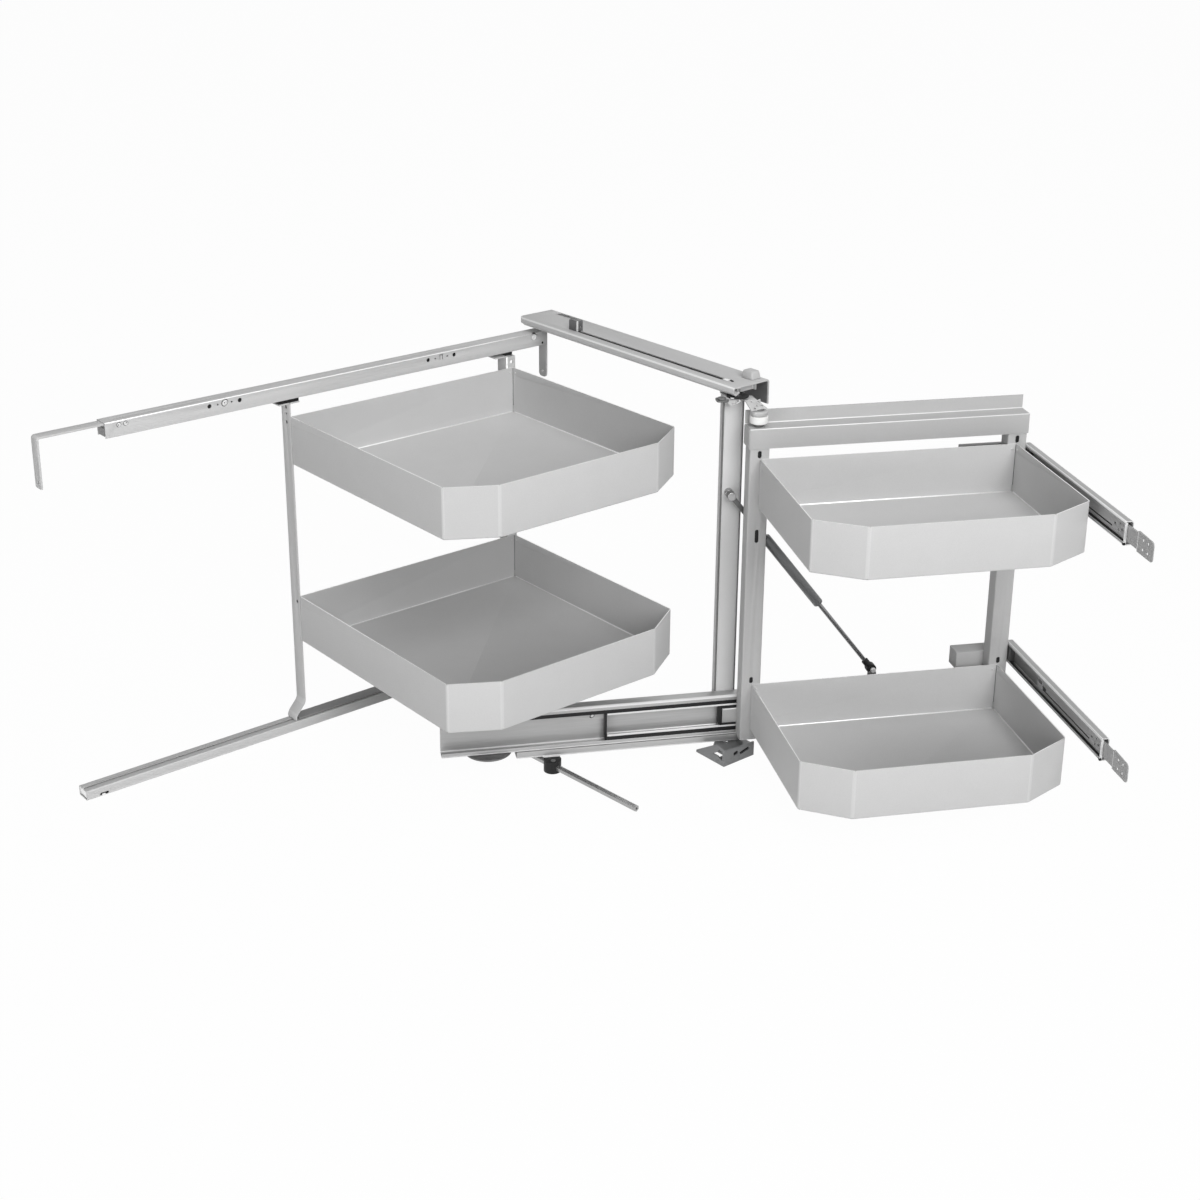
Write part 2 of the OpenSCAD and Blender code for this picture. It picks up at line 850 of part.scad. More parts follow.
module roller_pin() {
    foot = (roller_lift - glide_play) / 2;
    color("gray")
        front_frame()
            translate([roller_x, -roller_y, 0])
                union() {
                    translate([0, 0, roller_z - glide_play])
                        cylinder(r = roller_pin_r, h = bracket_step + column_sheet - roller_z + glide_play);
                    translate([0, 0, roller_z - glide_play - foot])
                        cylinder(r = roller_head_r, h = foot);
                    translate([0, 0, bracket_step + column_sheet])
                        cylinder(r = roller_head_r, h = head_h);
                }
}

module guide_roller() {
    color("white")
        front_frame()
            translate([roller_x, -roller_y, roller_z])
                difference() {
                    cylinder(r = roller_r, h = roller_h);
                    translate([0, 0, -cut])
                        cylinder(r = roller_pin_r + run_gap, h = roller_h + 2 * cut);
                }
}

module slide_outer() {
    color("silver")
        front_frame()
            translate([slide_left, -slide_front, slide_z])
                along_x(slide_len)
                    slide_section(slide_h, slide_d, slide_sheet, slide_lip);
}

module ball_strips() {
    strip_h = race_h - member_gap;
    color("dimgray")
        front_frame()
            for (z = [slide_z + slide_sheet, slide_z + slide_h - slide_sheet - strip_h])
                translate([middle_left, 0, z])
                    cube([slide_right - middle_left, slide_back / 2, strip_h]);
}

module slide_middle() {
    color("gainsboro")
        front_frame()
            translate([middle_left, -slide_front + member_gap, slide_mid - middle_h / 2])
                along_x(slide_len)
                    slide_section(middle_h, middle_d, slide_sheet, slide_lip);
}

module slide_inner() {
    color("silver")
        front_frame()
            translate([inner_left, -post_back, slide_mid - inner_h / 2])
                along_x(frame_right - inner_left)
                    difference() {
                        square([inner_d, inner_h]);
                        translate([post_gap, slide_sheet])
                            square([slide_d, inner_h - 2 * slide_sheet]);
                    }
}

module slide_carrier() {
    t = column_sheet;
    color("silver")
        front_frame()
            difference() {
                union() {
                    translate([-carrier_left, -slide_front, carrier_z])
                        along_x(carrier_left + slide_right)
                            difference() {
                                square([slide_d, carrier_h]);
                                translate([t, t])
                                    square([slide_d - 2 * t, carrier_h]);
                            }
                    translate([bush_x - bush_r, -slide_front - t, carrier_z])
                        cube([2 * bush_r, 2 * t, t]);
                }
                translate([0, 0, carrier_z - cut])
                    cylinder(r = floor_pin_r + run_gap, h = t + 2 * cut);
            }
}

module tail_disc() {
    color("gray")
        front_frame()
            translate([disc_x, slide_back - slide_sheet, slide_z - disc_h])
                rotate_extrude()
                    polygon([[0, 0], [disc_flat_r, 0], [disc_r, disc_h - disc_rim], [disc_r, disc_h],
                             [0, disc_h]]);
}

module rod_bush() {
    color("black")
        front_frame()
            difference() {
                translate([bush_x, -bush_y, bush_z])
                    cylinder(r = bush_r, h = bush_h);
                translate([bush_x, -bush_y, rod_z])
                    rotate([90, 0, rod_angle])
                        cylinder(r = rod_r, h = 3 * bush_r, center = true);
            }
}

module bush_screw() {
    color("dimgray")
        front_frame()
            translate([bush_x, -bush_y - bush_r / 2, carrier_z])
                cylinder(r = head_r, h = head_h / 2);
}

module stop_rod() {
    color("silver")
        front_frame()
            translate([bush_x, -bush_y, rod_z])
                rotate([90, 0, rod_angle])
                    translate([0, 0, -rod_back])
                        cylinder(r = rod_r, h = rod_front + rod_back);
}

module strut_pin() {
    color("gray")
        front_frame()
            translate([strut_x, slide_back, strut_z])
                rotate([90, 0, 0])
                    union() {
                        cylinder(r = strut_pin_r, h = slide_back + post_back - glide_play);
                        cylinder(r = eye_r, h = slide_back + strut_y - eye_t / 2 - glide_play);
                        translate([0, 0, slide_back + post_back - glide_play - head_h])
                            cylinder(r = eye_r, h = head_h);
                    }
}

module post(x, slots) {
    translate([x, -post_front, post_z])
        difference() {
            cube([post_w, post_d, crossbar_z + crossbar_h - post_sheet - post_z]);
            translate([post_sheet, post_sheet, -cut])
                cube([post_w - 2 * post_sheet, post_d, crossbar_z + crossbar_h]);
            for (s = slots)
                translate([post_w / 2, post_sheet + cut, s[0] - post_z])
                    rotate([90, 0, 0])
                        linear_extrude(post_sheet + 2 * cut)
                            slot_hole(slot_wide, s[1]);
        }
}

module left_post() {
    color("lightgray")
        front_frame()
            post(left_post_x, [[front_upper_rim + slot_up, slot_tall], [long_slot_z, long_slot_h],
                               [front_lower_rim + slot_up, slot_tall]]);
}

module right_post() {
    color("lightgray")
        front_frame()
            post(right_post_x, [[front_upper_rim + slot_up, slot_tall],
                                [front_lower_rim + slot_up, slot_tall]]);
}

module crossbar() {
    color("lightgray")
        front_frame()
            translate([left_post_x - cut, 0, 0])
                along_x(frame_right - left_post_x + 2 * cut)
                    union() {
                        translate([-post_front - post_sheet, crossbar_z])
                            square([post_sheet, crossbar_h]);
                        translate([-post_front - post_sheet, ledge_z - post_sheet])
                            square([post_front + post_sheet - track_y, post_sheet]);
                        translate([-track_face, ledge_z - post_sheet])
                            square([post_sheet, track_h + post_sheet]);
                    }
}

module stub_tube() {
    color("silver")
        front_frame()
            translate([frame_right - stub_len, -post_back, stub_z - stub_w / 2])
                along_x(stub_len)
                    difference() {
                        square([stub_w, stub_w]);
                        translate([post_sheet, post_sheet])
                            square([stub_w - 2 * post_sheet, stub_w - 2 * post_sheet]);
                    }
}

module tie_bar() {
    color("gray")
        front_frame()
            translate([frame_right - tie_len, -post_back, upper_arm_z])
                cube([tie_len, tie_d, tie_h]);
}

module front_upper_tray() {
    color("lightgray")
        front_frame()
            translate([front_gap_x, -post_front - front_tray_d, front_upper_rim - tray_h])
                tray(front_tray_w, front_tray_d);
}

module front_lower_tray() {
    color("lightgray")
        front_frame()
            translate([front_gap_x, -post_front - front_tray_d, front_lower_rim - tray_h])
                tray(front_tray_w, front_tray_d);
}

module front_tray_screws() {
    color("gray")
        front_frame()
            for (rim = [front_upper_rim, front_lower_rim])
                screw_heads(front_gap_x + head_inset, front_gap_x + front_tray_w - head_inset,
                            -post_front - tray_sheet, rim - head_inset);
}

module arm_channel(z) {
    translate([frame_right, -arm_front, z - arm_h / 2])
        along_y(arm_len)
            slide_section(arm_h, arm_w, post_sheet, arm_lip);
}

module arm_bar(z) {
    difference() {
        union() {
            translate([bar_x, -plate_end + plate_len / 2, z - bar_h / 2])
                cube([bar_t, arm_inside + arm_out - plate_len / 2, bar_h]);
            translate([bar_x, -plate_end, z - plate_h / 2])
                cube([bar_t, plate_len, plate_h]);
        }
        for (turn = [45 : 90 : 315])
            translate([bar_x - cut, -plate_mid + plate_ring * cos(turn), z + plate_ring * sin(turn)])
                rotate([0, 90, 0])
                    cylinder(r = plate_hole_r, h = bar_t + 2 * cut);
    }
}

module upper_arm_channel() {
    color("silver")
        front_frame()
            arm_channel(upper_arm_z);
}

module lower_arm_channel() {
    color("silver")
        front_frame()
            arm_channel(lower_arm_z);
}

module upper_arm_bar() {
    color("gainsboro")
        front_frame()
            arm_bar(upper_arm_z);
}

module lower_arm_bar() {
    color("gainsboro")
        front_frame()
            arm_bar(lower_arm_z);
}

module strut_bracket() {
    color("silver")
        front_frame()
            translate([stud_x - stud_plate_w / 2, -post_back, inner_top])
                cube([stud_plate_w, post_gap, stud_z + clip_r - inner_top]);
}

module strut_eye() {
    color("gray")
        on_strut()
            difference() {
                union() {
                    rotate([90, 0, 0])
                        cylinder(r = eye_r, h = eye_t, center = true);
                    translate([-strut_pin_r, -eye_t / 2, 0])
                        cube([2 * strut_pin_r, eye_t, eye_len]);
                }
                rotate([90, 0, 0])
                    cylinder(r = strut_pin_r + run_gap, h = 2 * eye_t, center = true);
            }
}

module strut_barrel() {
    color("dimgray")
        on_strut()
            translate([0, 0, eye_len])
                difference() {
                    cylinder(r = barrel_r, h = barrel_len);
                    translate([0, 0, barrel_cap])
                        cylinder(r = strut_rod_r + run_gap, h = barrel_len);
                }
}

module strut_rod() {
    color("silver")
        on_strut()
            translate([0, 0, barrel_end - rod_inside])
                cylinder(r = strut_rod_r, h = strut_len - clip_r - barrel_end + rod_inside);
}

module strut_clip() {
    color("black")
        on_strut()
            difference() {
                union() {
                    translate([0, 0, strut_len - neck_r - cut - neck_len])
                        cylinder(r = neck_r, h = neck_len);
                    translate([0, 0, strut_len])
                        rotate([90, 0, 0])
                            cylinder(r = clip_r, h = post_back - post_gap - strut_y - glide_play);
                    translate([0, 0, strut_len])
                        rotate([-90, 0, 0])
                            cylinder(r = clip_r, h = clip_r / 2);
                }
                translate([0, 0, strut_len - 3 * clip_r])
                    cylinder(r = strut_rod_r, h = 2 * clip_r);
            }
}

module strut_stud() {
    color("gainsboro")
        on_strut()
            translate([0, clip_r / 2, strut_len])
                rotate([-90, 0, 0])
                    cylinder(r = stud_r, h = head_h);
}

upper_rail();
left_strip();
right_strip();
lower_rail();
top_channel();
slot_tab();
slot_stop();
bumper_block();
top_pin();
floor_bracket();
floor_pin();
left_upright();
right_upright();
left_shoe();
right_shoe();
lower_runner();
rear_upper_tray();
rear_lower_tray();
rear_tray_screws();
column();
column_plate();
roller_bracket();
roller_pin();
guide_roller();
slide_outer();
ball_strips();
slide_carrier();
tail_disc();
rod_bush();
bush_screw();
stop_rod();
strut_pin();
slide_middle();
slide_inner();
left_post();
right_post();
crossbar();
stub_tube();
tie_bar();
front_upper_tray();
front_lower_tray();
front_tray_screws();
upper_arm_channel();
lower_arm_channel();
strut_bracket();
upper_arm_bar();
lower_arm_bar();
strut_eye();
strut_barrel();
strut_rod();
strut_clip();
strut_stud();
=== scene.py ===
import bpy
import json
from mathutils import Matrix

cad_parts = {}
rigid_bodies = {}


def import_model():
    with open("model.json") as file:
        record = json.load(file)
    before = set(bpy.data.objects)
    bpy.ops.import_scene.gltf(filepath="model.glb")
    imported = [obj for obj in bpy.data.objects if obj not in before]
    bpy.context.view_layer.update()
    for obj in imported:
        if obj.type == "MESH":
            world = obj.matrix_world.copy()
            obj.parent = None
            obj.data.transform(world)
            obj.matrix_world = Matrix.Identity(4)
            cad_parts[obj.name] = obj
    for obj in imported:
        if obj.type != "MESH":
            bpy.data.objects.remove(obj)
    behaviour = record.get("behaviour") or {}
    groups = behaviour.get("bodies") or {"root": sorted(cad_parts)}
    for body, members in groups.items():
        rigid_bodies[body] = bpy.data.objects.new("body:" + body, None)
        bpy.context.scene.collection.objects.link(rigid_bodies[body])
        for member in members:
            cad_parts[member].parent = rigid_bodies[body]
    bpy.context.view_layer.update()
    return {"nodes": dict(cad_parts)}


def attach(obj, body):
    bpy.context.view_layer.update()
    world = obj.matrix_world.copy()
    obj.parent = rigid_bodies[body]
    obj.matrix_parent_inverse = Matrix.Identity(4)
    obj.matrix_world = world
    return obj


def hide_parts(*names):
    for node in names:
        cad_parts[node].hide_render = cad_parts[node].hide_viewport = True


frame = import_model()

import json
import math

import bpy
from mathutils import Matrix, Vector

# The place it is photographed in: white paper that runs into a white room without an edge, a broad
# soft light high in front, a smaller one low at the left, and weak ones at the right and above.
for item in bpy.data.objects:
    item.select_set(False)
bpy.context.scene.view_settings.view_transform = "Standard"
white = (1, 1, 1, 1)
paper_seen = 0.975


def srgb(code):
    """Turns an sRGB hex value into a linear colour."""
    parts = [int(code[i:i + 2], 16) / 255 for i in (1, 3, 5)]
    return (*[p / 12.92 if p < 0.04045 else ((p + 0.055) / 1.055) ** 2.4 for p in parts], 1.0)


def add(tree, kind, settings=None, inputs=None):
    """Adds one node, sets its properties, and sets or links its inputs by name or number."""
    node = tree.nodes.new(kind)
    for name, value in (settings or {}).items():
        setattr(node, name, value)
    for name, value in (inputs or {}).items():
        if isinstance(value, bpy.types.NodeSocket):
            tree.links.new(value, node.inputs[name])
        else:
            node.inputs[name].default_value = value
    return node


def looked_at(tree):
    """Gives 1 to what the camera sees, straight or in a mirror, and 0 to the light on the pieces."""
    ray = add(tree, "ShaderNodeLightPath")
    mirrored = add(tree, "ShaderNodeMath", {"operation": "MAXIMUM"},
                   {0: ray.outputs["Is Glossy Ray"], 1: ray.outputs["Is Transmission Ray"]})
    seen = add(tree, "ShaderNodeMath", {"operation": "MAXIMUM"},
               {0: ray.outputs["Is Camera Ray"], 1: mirrored.outputs[0]})
    return seen.outputs[0]


camera = bpy.data.objects.new("camera", bpy.data.cameras.new("camera"))
bpy.context.scene.collection.objects.link(camera)
camera.location = (-1.8863, -1.9401, 1.4449)
camera.rotation_euler = (math.radians(70.16), 0, math.radians(-38.49))
camera.data.sensor_width = 36
camera.data.lens = 55.81
camera.data.shift_x = 0.0332
camera.data.shift_y = -0.1031
camera.data.clip_end = 200
bpy.context.scene.camera = camera

bpy.ops.mesh.primitive_plane_add(size=80, location=(0, 0, 0))
floor = bpy.context.active_object
floor.name = "studio_floor"
floor.data.transform(Matrix.Translation((0, 0, -0.0005)))
# White paper: matt and bright. It shows nearly pure white, with only a trace of shadow.
paper = bpy.data.materials.new("white_paper")
paper.use_nodes = True
tree = paper.node_tree
tree.nodes.clear()
lit = add(tree, "ShaderNodeBsdfDiffuse", inputs={"Color": srgb("#f2f2f2")})
glow = add(tree, "ShaderNodeEmission", inputs={"Color": white, "Strength": 1.0})
seen = add(tree, "ShaderNodeMath", {"operation": "MULTIPLY"}, {0: looked_at(tree), 1: paper_seen})
blend = add(tree, "ShaderNodeMixShader", inputs={0: seen.outputs[0], 1: lit.outputs[0], 2: glow.outputs[0]})
add(tree, "ShaderNodeOutputMaterial", inputs={"Surface": blend.outputs[0]})
floor.data.materials.append(paper)

world = bpy.data.worlds.new("white_room")
bpy.context.scene.world = world
world.use_nodes = True
tree = world.node_tree
tree.nodes.clear()
around = add(tree, "ShaderNodeBackground", inputs={"Color": srgb("#e6e6e6"), "Strength": 0.1})
behind = add(tree, "ShaderNodeBackground", inputs={"Color": white, "Strength": 1.0})
room = add(tree, "ShaderNodeMixShader",
           inputs={0: looked_at(tree), 1: around.outputs[0], 2: behind.outputs[0]})
add(tree, "ShaderNodeOutputWorld", inputs={"Surface": room.outputs[0]})

aim = Vector((-0.1, 0.0, 0.3))
for name, place, size, power in (("front_light", (-1.8, -4.9, 3.4), 3.4, 232),
                                 ("left_light", (-5.0, -0.8, 0.3), 1.6, 70),
                                 ("right_light", (3.2, -4.0, 2.4), 2.4, 20),
                                 ("top_light", (-0.2, -0.2, 3.6), 3.4, 42)):
    lamp = bpy.data.objects.new(name, bpy.data.lights.new(name, "AREA"))
    lamp.data.size = size
    lamp.data.energy = power
    lamp.location = place
    lamp.rotation_euler = (aim - Vector(place)).to_track_quat("-Z", "Y").to_euler()
    bpy.context.scene.collection.objects.link(lamp)


# Upper rail: cold-formed steel sheet bent to an upside-down U and powder coated in silver.
# The rear carriage hangs in it; spare screw holes are punched in pairs through its front wall.
mm = 0.001
along = Vector((1, 0, 0))
across = Vector((0, 1, 0))
up = Vector((0, 0, 1))
axes = Matrix()
through = 8
bend_angle = 20
crease = 35


def extent(node):
    """Lowest and highest corner of a solid, in millimetres, on the axes that pieces are drawn on."""
    onto = axes.inverted()
    points = [onto @ vertex.co / mm for vertex in frame["nodes"][node].data.vertices]
    return [Vector([pick(point[axis] for point in points) for axis in range(3)]) for pick in (min, max)]


def alone(piece):
    """Selects one piece and nothing else, so that an operator acts on it only."""
    bpy.ops.object.select_all(action="DESELECT")
    piece.select_set(True)
    bpy.context.view_layer.objects.active = piece


def apply(piece, kind, **settings):
    """Adds a modifier to a piece, sets it and applies it."""
    alone(piece)
    modifier = piece.modifiers.new(kind.lower(), kind)
    for name, value in settings.items():
        setattr(modifier, name, value)
    bpy.ops.object.modifier_apply(modifier=modifier.name)


def soften(piece, width, segments=2, angle=50, coat=-1):
    """Rounds the edges of a piece that turn by more than an angle, so that they catch the light as
    bent or cut metal does."""
    apply(piece, "BEVEL", width=width, segments=segments, limit_method="ANGLE",
          angle_limit=math.radians(angle), use_clamp_overlap=True, material=coat)


def outward(piece):
    """Closes a mesh where faces met and turns its faces outwards."""
    alone(piece)
    bpy.ops.object.mode_set(mode="EDIT")
    bpy.ops.mesh.select_all(action="SELECT")
    bpy.ops.mesh.remove_doubles(threshold=0.01)
    bpy.ops.mesh.normals_make_consistent(inside=False)
    bpy.ops.object.mode_set(mode="OBJECT")


def flat(axis, at, pairs):
    """Puts a flat drawing into space, at a place along the axis that it is seen along."""
    place = "xyz".index(axis)
    return [(*pair[:place], at, *pair[place:]) for pair in pairs]


def line(name, points, coats=()):
    """Draws a line from point to point and leaves it selected in edit mode."""
    bpy.ops.object.select_all(action="DESELECT")
    bpy.ops.mesh.primitive_plane_add(size=1)
    piece = bpy.context.active_object
    piece.name = name
    for coat in coats:
        piece.data.materials.append(coat)
    bpy.ops.object.mode_set(mode="EDIT")
    bpy.ops.mesh.merge(type="CENTER")
    bpy.ops.transform.translate(value=points[0])
    for here, there in zip(points, points[1:]):
        bpy.ops.mesh.extrude_vertices_move(
            TRANSFORM_OT_translate={"value": Vector(there) - Vector(here)})
    bpy.ops.mesh.select_all(action="SELECT")
    return piece


def folded(name, axis, start, end, path, sheet, inside, bend=0.0, coats=()):
    """Folds a strip of sheet: a line drawn bend by bend, as seen along an axis, is pulled along it,
    its bends are rounded, and it gets the thickness of the sheet towards a point inside the fold.
    Of two coats the second one goes onto the bends."""
    piece = line(name, flat(axis, start, path), coats)
    bpy.ops.mesh.extrude_region_move(
        TRANSFORM_OT_translate={"value": flat(axis, end - start, [(0, 0)])[0]})
    bpy.ops.object.mode_set(mode="OBJECT")
    first = piece.data.polygons[0]
    inwards = Vector(flat(axis, start, [inside])[0]) - first.center
    side = 1 if first.normal.dot(inwards) > 0 else -1
    if bend:
        soften(piece, bend, 4, bend_angle, len(coats) - 1)
    apply(piece, "SOLIDIFY", thickness=sheet, offset=side, use_even_offset=True)
    outward(piece)
    return piece


def punch(place, axis, radius, depth=through, stretch=(0, 0, 0), sides=24):
    """Makes a round punch or pin, or a long one where it is stretched."""
    bpy.ops.object.select_all(action="DESELECT")
    turn = Vector(axis).to_track_quat("Z", "Y").to_euler()
    bpy.ops.mesh.primitive_cylinder_add(vertices=sides, radius=radius, depth=depth, location=place,
                                        rotation=turn)
    tool = bpy.context.active_object
    bpy.ops.object.transform_apply()
    long = Vector(stretch)
    if long.length:
        for vertex in tool.data.vertices:
            ahead = (vertex.co - Vector(place)).dot(long)
            vertex.co += long / 2 if ahead > 0 else -long / 2
    return tool


def joined(name, *pieces):
    """Welds pieces into one."""
    alone(pieces[0])
    for piece in pieces:
        piece.select_set(True)
    if len(pieces) > 1:
        bpy.ops.object.join()
    pieces[0].name = name
    return pieces[0]


def cut(piece, tools):
    """Takes punches out of a piece, all in one stroke, and throws them away."""
    tool = joined("punches", *tools)
    apply(piece, "BOOLEAN", object=tool, operation="DIFFERENCE", solver="MANIFOLD")
    alone(tool)
    bpy.ops.object.delete()


def fit(piece, body, slot, material, *nodes, edge=0.0, name=""):
    """Breaks a piece's edges, brings it from millimetres to its place, and gives it finish and body."""
    if name:
        piece.name = name
    if edge:
        soften(piece, edge)
    piece.data.transform(axes @ Matrix.Scale(mm, 4))
    alone(piece)
    bpy.ops.object.shade_smooth_by_angle(angle=math.radians(crease))
    if not any(piece.data.materials):
        piece.data.materials.clear()
        piece.data.materials.append(material)
    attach(piece, body)
    if nodes:
        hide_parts(*nodes)


def finish(name, light, dark, grain, metallic, rough, spread, bump, stretch=(1, 1, 1), turn=0.0, shine=0.5):
    """A coated or plated surface: a fine grain of two tones with wide clouds in it, uneven gloss and a
    shallow relief. The grain is the width of one speck in millimetres, coarser than life where it
    wouldn't show, and stretch draws it out along an axis."""
    cloud_width = 40 * grain
    cloud_share = 0.2
    relief_depth = 0.05 * mm
    grain_range = {"From Min": 0.35, "From Max": 0.85}
    made = bpy.data.materials.new(name)
    made.use_nodes = True
    tree = made.node_tree
    shader = tree.nodes["Principled BSDF"]
    shader.inputs["Metallic"].default_value = metallic
    shader.inputs["Specular IOR Level"].default_value = shine
    place = add(tree, "ShaderNodeTexCoord")
    unturn = add(tree, "ShaderNodeMapping", inputs={0: place.outputs["Object"], "Rotation": (0, 0, turn)})
    drawn = add(tree, "ShaderNodeMapping", inputs={0: unturn.outputs[0], "Scale": stretch})
    speck, cloud = [add(tree, "ShaderNodeTexNoise",
                        inputs={"Vector": drawn.outputs[0], "Scale": 1 / (width * mm), "Detail": detail})
                    for width, detail in ((grain, 3.0), (cloud_width, 2.0))]
    both = add(tree, "ShaderNodeMath", {"operation": "MULTIPLY_ADD"},
               {0: cloud.outputs["Fac"], 1: cloud_share, 2: speck.outputs["Fac"]})
    tone = add(tree, "ShaderNodeMapRange", inputs={"Value": both.outputs[0], **grain_range})
    colour = add(tree, "ShaderNodeMix", {"data_type": "RGBA"},
                 {0: tone.outputs[0], 6: srgb(dark), 7: srgb(light)})
    gloss = add(tree, "ShaderNodeMapRange", inputs={"Value": both.outputs[0], **grain_range,
                                                    "To Min": rough - spread, "To Max": rough + spread})
    relief = add(tree, "ShaderNodeBump",
                 inputs={"Height": speck.outputs["Fac"], "Strength": bump, "Distance": relief_depth})
    tree.links.new(colour.outputs[2], shader.inputs["Base Color"])
    tree.links.new(gloss.outputs[0], shader.inputs["Roughness"])
    tree.links.new(relief.outputs[0], shader.inputs["Normal"])
    return made


# Silver powder coat: metal flakes in a matt lacquer, baked on steel sheet. It gives the eye an even
# light grey with a soft sheen and a barely seen sparkle; the flake is drawn coarser than life to show.
silver_coat = finish("silver_powder_coat", "#d1d1d1", "#c8c8c8", 0.9, 0.02, 0.55, 0.06, 0.10, shine=0.15)
silver = ("silver_coat", silver_coat)
# The same coat, much lighter and shinier: a painted highlight where the sheet is bent or cut, so each
# bend shows as a fine light line, and over small bright parts.
silver_painted_highlight = finish("silver_coat_painted_highlight", "#f6f6f6", "#eeeeee", 0.9, 0.6, 0.32, 0.06, 0.06)
bright_bends = (silver_coat, silver_painted_highlight)
# A shade lighter coat: painted light, as a faint highlight across wide folds and over the whole column.
silver_painted_light = finish("silver_coat_painted_light", "#d8d8d8", "#cfcfcf", 0.9, 0.02, 0.5, 0.06, 0.08, shine=0.2)
soft_bends = (silver_coat, silver_painted_light)
# Moulded black nylon: near-black, slightly grey, with a fine even texture that keeps it from looking
# wet. The same black, first behind the rail's holes, also stands as painted shade in holes, slots and gaps.
black_nylon_and_shade = finish("black_nylon_and_shade", "#1c1c1d", "#111112", 0.8, 0.0, 0.5, 0.08, 0.25, shine=0.3)
nylon = ("black_plastic", black_nylon_and_shade)

low, high = extent("upper_rail")
middle = (low + high) / 2
rail_sheet = 1.5
rail_bend = 1.1
upper_rail = folded("upper_rail_coated", "x", low.x, high.x,
                    [(low.y, low.z), (low.y, high.z), (high.y, high.z), (high.y, low.z)],
                    rail_sheet, (middle.y, middle.z), rail_bend, bright_bends)
screw_height = low.z + 16
screw_radius = 3.5
pilot_radius = 1.5
pilot_in = 14
top_pilot_y = low.y + 13
pair_gap = 52
left_pair = low.x + 171
right_pair = high.x - 196 - pair_gap
dimples = (low.x + 22, low.x + 33)
dimple_height = screw_height + 1.5
lug_mid = left_pair + pair_gap / 2
lug_height = screw_height + 1
lug_square = (1.2, 0, 1.2)
bridge_mid = right_pair + pair_gap / 2
slit_radius = 0.6
bolt_x = high.x - 29
bolt_height = low.z + 18
end_hole_x = high.x - 10
end_hole_height = low.z + 4
# Thin black discs just inside the front wall, behind the holes and round the bosses: painted shade that
# makes them look dark.
plug_in = rail_sheet + 0.15
plug_thin = 0.3
holes = []
shade_fills = []
for first in (left_pair, right_pair):
    for step, radius in ((0, screw_radius), (pilot_in, pilot_radius), (pair_gap - pilot_in, pilot_radius),
                         (pair_gap, screw_radius)):
        holes.append(punch((first + step, low.y, screw_height), across, radius))
        shade_fills.append(punch((first + step, low.y + plug_in, screw_height), across, radius + 0.6, plug_thin))
    for step in (8, 40):
        holes.append(punch((first + step, top_pilot_y, high.z), up, pilot_radius))
for step in (-2.8, 2.8):
    holes.append(punch((bridge_mid + step, low.y, screw_height), across, slit_radius, stretch=(0, 0, 7)))
holes.append(punch((bridge_mid, low.y, screw_height + 4.4), across, slit_radius, stretch=(6.4, 0, 0)))
holes.append(punch((lug_mid, low.y, lug_height), across, 5.6, stretch=lug_square, sides=8))
for x in dimples:
    holes.append(punch((x, low.y, dimple_height), across, 3.8))
    holes.append(punch((x + 1, top_pilot_y, high.z), up, pilot_radius))
holes.append(punch((bolt_x, low.y, bolt_height), across, 6.4))
holes.append(punch((end_hole_x, low.y, end_hole_height), across, 2.4))
cut(upper_rail, holes)
fit(upper_rail, "cabinet_frame", *silver, "upper_rail", edge=0.3)
for x, z, radius in (*[(x, lug_height, 4.6) for x in dimples], (lug_mid, lug_height, 7.0),
                     (bridge_mid, lug_height, 5.2), (bolt_x, bolt_height, 7.2),
                     (end_hole_x, end_hole_height, 3.2)):
    shade_fills.append(punch((x, low.y + plug_in, z), across, radius, plug_thin))
fit(joined("rail_hole_plugs", *shade_fills), "cabinet_frame", *nylon)

# Rail bosses: round and square lugs pressed out of the rail's wall and a bolt head near its right
# end. They sit in their holes with a dark gap round them, which is painted shade from the black discs
# behind, and they take the bright coat as a painted highlight.
boss_y = low.y + 0.4
boss_rise = 2.2
bosses = [punch((x, boss_y, dimple_height), across, 2.9, boss_rise) for x in dimples]
bosses.append(punch((lug_mid, boss_y, lug_height), across, 4.2, boss_rise, lug_square, sides=8))
bosses.append(punch((bolt_x - 0.6, low.y + 0.2, bolt_height - 0.4), across, 5.2, 2.6))
marks = [punch((dimples[0] - 0.6, low.y, dimple_height - 0.3), across, 1.1),
         punch((dimples[1] + 0.6, low.y, dimple_height + 0.7), across, 1.1),
         punch((lug_mid - 0.8, low.y, lug_height), across, 1.0),
         punch((bolt_x - 0.6, low.y - 1, bolt_height - 0.4), across, 0.7, 1.6, (5, 0, 4))]
for boss, mark in zip(bosses, marks):
    cut(boss, [mark])
fit(joined("rail_bosses", *bosses), "cabinet_frame", "silver_coat", silver_painted_highlight, edge=0.4)


# Rail end stop: a grey moulded plate pushed into the rail's left end, which it closes so that the
# shoe can't leave.
def block(name, low, high):
    """Cuts a plain block from one corner to the opposite one."""
    low = Vector(low)
    high = Vector(high)
    bpy.ops.object.select_all(action="DESELECT")
    bpy.ops.mesh.primitive_cube_add(size=1, location=(low + high) / 2, scale=high - low)
    piece = bpy.context.active_object
    piece.name = name
    bpy.ops.object.transform_apply()
    return piece


# Grey moulded nylon: an even mid grey with a dull skin.
grey_nylon = finish("grey_nylon", "#8c8c8c", "#7d7d7d", 0.8, 0.0, 0.5, 0.05, 0.2)
stop_left = low.x - 0.4
stop_thick = 3
rail_stop = block("rail_end_stop", (stop_left, low.y + 4, low.z + 2),
                  (stop_left + stop_thick, low.y + 23, low.z + 15))
soften(rail_stop, 0.8, 3)
fit(rail_stop, "cabinet_frame", "grey_plastic", grey_nylon)


